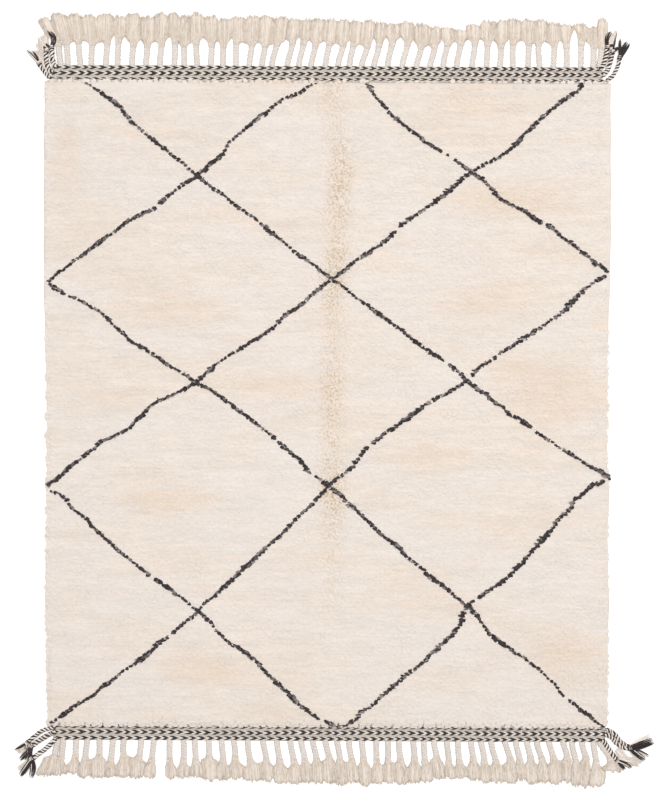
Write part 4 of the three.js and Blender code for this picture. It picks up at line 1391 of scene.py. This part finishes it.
def brush_place(end, k, share, t, length):
    """Where a strand of a brush runs: its share of the width, its way from the plait."""
    _, opening, tip, reach, _, mouth = end["lines"][k]
    left, right = brush_edges(end, k)
    spread = np.where(share > 0, right, -left)
    arches = [ARCH[0] + (ARCH[1] - ARCH[0]) * chance(3 * (k + side) + end["side"]) for side in (0, 1)]
    for side, edge in ((0, left), (1, right)):
        if abs(tip + edge - end["parting"][0]) < PARTING_REACH:
            arches[side] = end["parting"][2]
    arch = np.where(share > 0, arches[1], arches[0])
    way = np.clip(t * (reach - mouth) / arch, 0, 1)
    flare = 1 - np.sqrt(1 - way * way)
    fan = share * (PLAIT_HALF + (spread * 1.14 - PLAIT_HALF) * flare)
    x = opening + (tip - opening) * t + fan
    y = mouth - 7 + 0.8 * share * share + length * t
    z = 9.6 * (1 - t) + 3.2 * t + 1.3 * (1 - share * share) * (1 - 0.4 * t)
    return x, end["side"] * y + skew(x), z


def brush(end, k, rng):
    """The loose strands over one brush."""
    reach, mouth = end["lines"][k][3], end["lines"][k][5]
    left, right = brush_edges(end, k)
    t = np.array(BRUSH_STEPS)
    made = []
    for _ in range(BRUSH_STRANDS + int((right - left - 34) * 0.5)):
        share = rng.uniform(-1, 1)
        length = (reach - mouth) * (1 - TIP_ROUND * share * share) + rng.uniform(-10, 4) + 10
        x, y, z = brush_place(end, k, share, t, length)
        x = x + rng.uniform(0.8, 2.6) * np.sin(t * rng.uniform(5, 15) + rng.uniform(0, 6.3)) * t
        z = z + rng.uniform(-0.9, 0.5) + rng.uniform(-1.4, 0.6) * t
        thick = 1.35 * rng.uniform(0.75, 1.2) * (1 - 0.45 * t**2)
        thick[-1] *= 0.3
        # Painted shade: strands near a brush's sides are darker and yellower, towards the seams.
        seam = np.clip(end["pale"] + 0.1 - 0.5 * share**4 + rng.uniform(-0.35, 0.1), 0, 1)
        made.append(yarn([x, y, np.maximum(z, thick + 0.1)], thick, seam))
    return made


def brush_mats(end, rng):
    """The felted body of every brush of an end, as closed slabs."""
    points, faces, tones = [], [], []
    squares, rim = grid_faces(len(MAT_STEPS), len(MAT_SHARES))
    for k, (_, _, _, reach, _, mouth) in enumerate(end["lines"]):
        first = len(points)
        ragged = rng.uniform(-6, 4, len(MAT_SHARES))
        for t in MAT_STEPS:
            length = (reach - mouth) * (1 - TIP_ROUND * MAT_SHARES**2) + 7 + ragged * t
            x, y, z = brush_place(end, k, MAT_SHARES, t, length)
            z = z * np.interp(np.abs(MAT_SHARES), [0, 0.8, 1], [1, 0.94, 0.62])
            z = z - (1.5 if t == 1.0 else 0.0) + rng.uniform(-0.3, 0.3, len(MAT_SHARES))
            points += np.column_stack([x, y, z]).tolist()
            # Painted shade: the wool is darker and yellower towards a brush's sides, in the seams.
            tones += np.clip(end["pale"] - 0.55 * MAT_SHARES**4 + 0.2 * t, 0, 1).tolist()
        foot = len(points)
        points += [[*points[first + corner][:2], MAT_FOOT] for corner in rim]
        tones += [tones[first + corner] for corner in rim]
        made = slab_faces(squares, rim, first, foot)
        faces += made if end["side"] > 0 else [face[::-1] for face in made]
    piece = mesh_piece(f"brush_mats_{end['name']}", points, faces, BRUSH_WOOL)
    store(piece.data, "tone", tones)
    return piece


for end in ENDS:
    rng = np.random.default_rng(60 + end["side"])
    mats = brush_mats(end, rng)
    low = 0.95 if end["side"] > 0 else -1.08
    planar_map(mats, (-0.87, low), (0.87, low + 0.13))
    made = [mats]
    count = len(end["lines"])
    halves = (range(0, count // 2), range(count // 2, count))
    for label, share in zip(("left", "right"), halves):
        strands = []
        for k in share:
            strands += brush(end, k, rng)
        made.append(spin(f"brushes_{end['name']}_{label}", strands, BRUSH_WOOL, 3))
    for piece in made:
        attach(piece, "root")
        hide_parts(f"fringe_{end['name']}")
        end["pieces"].append(piece)
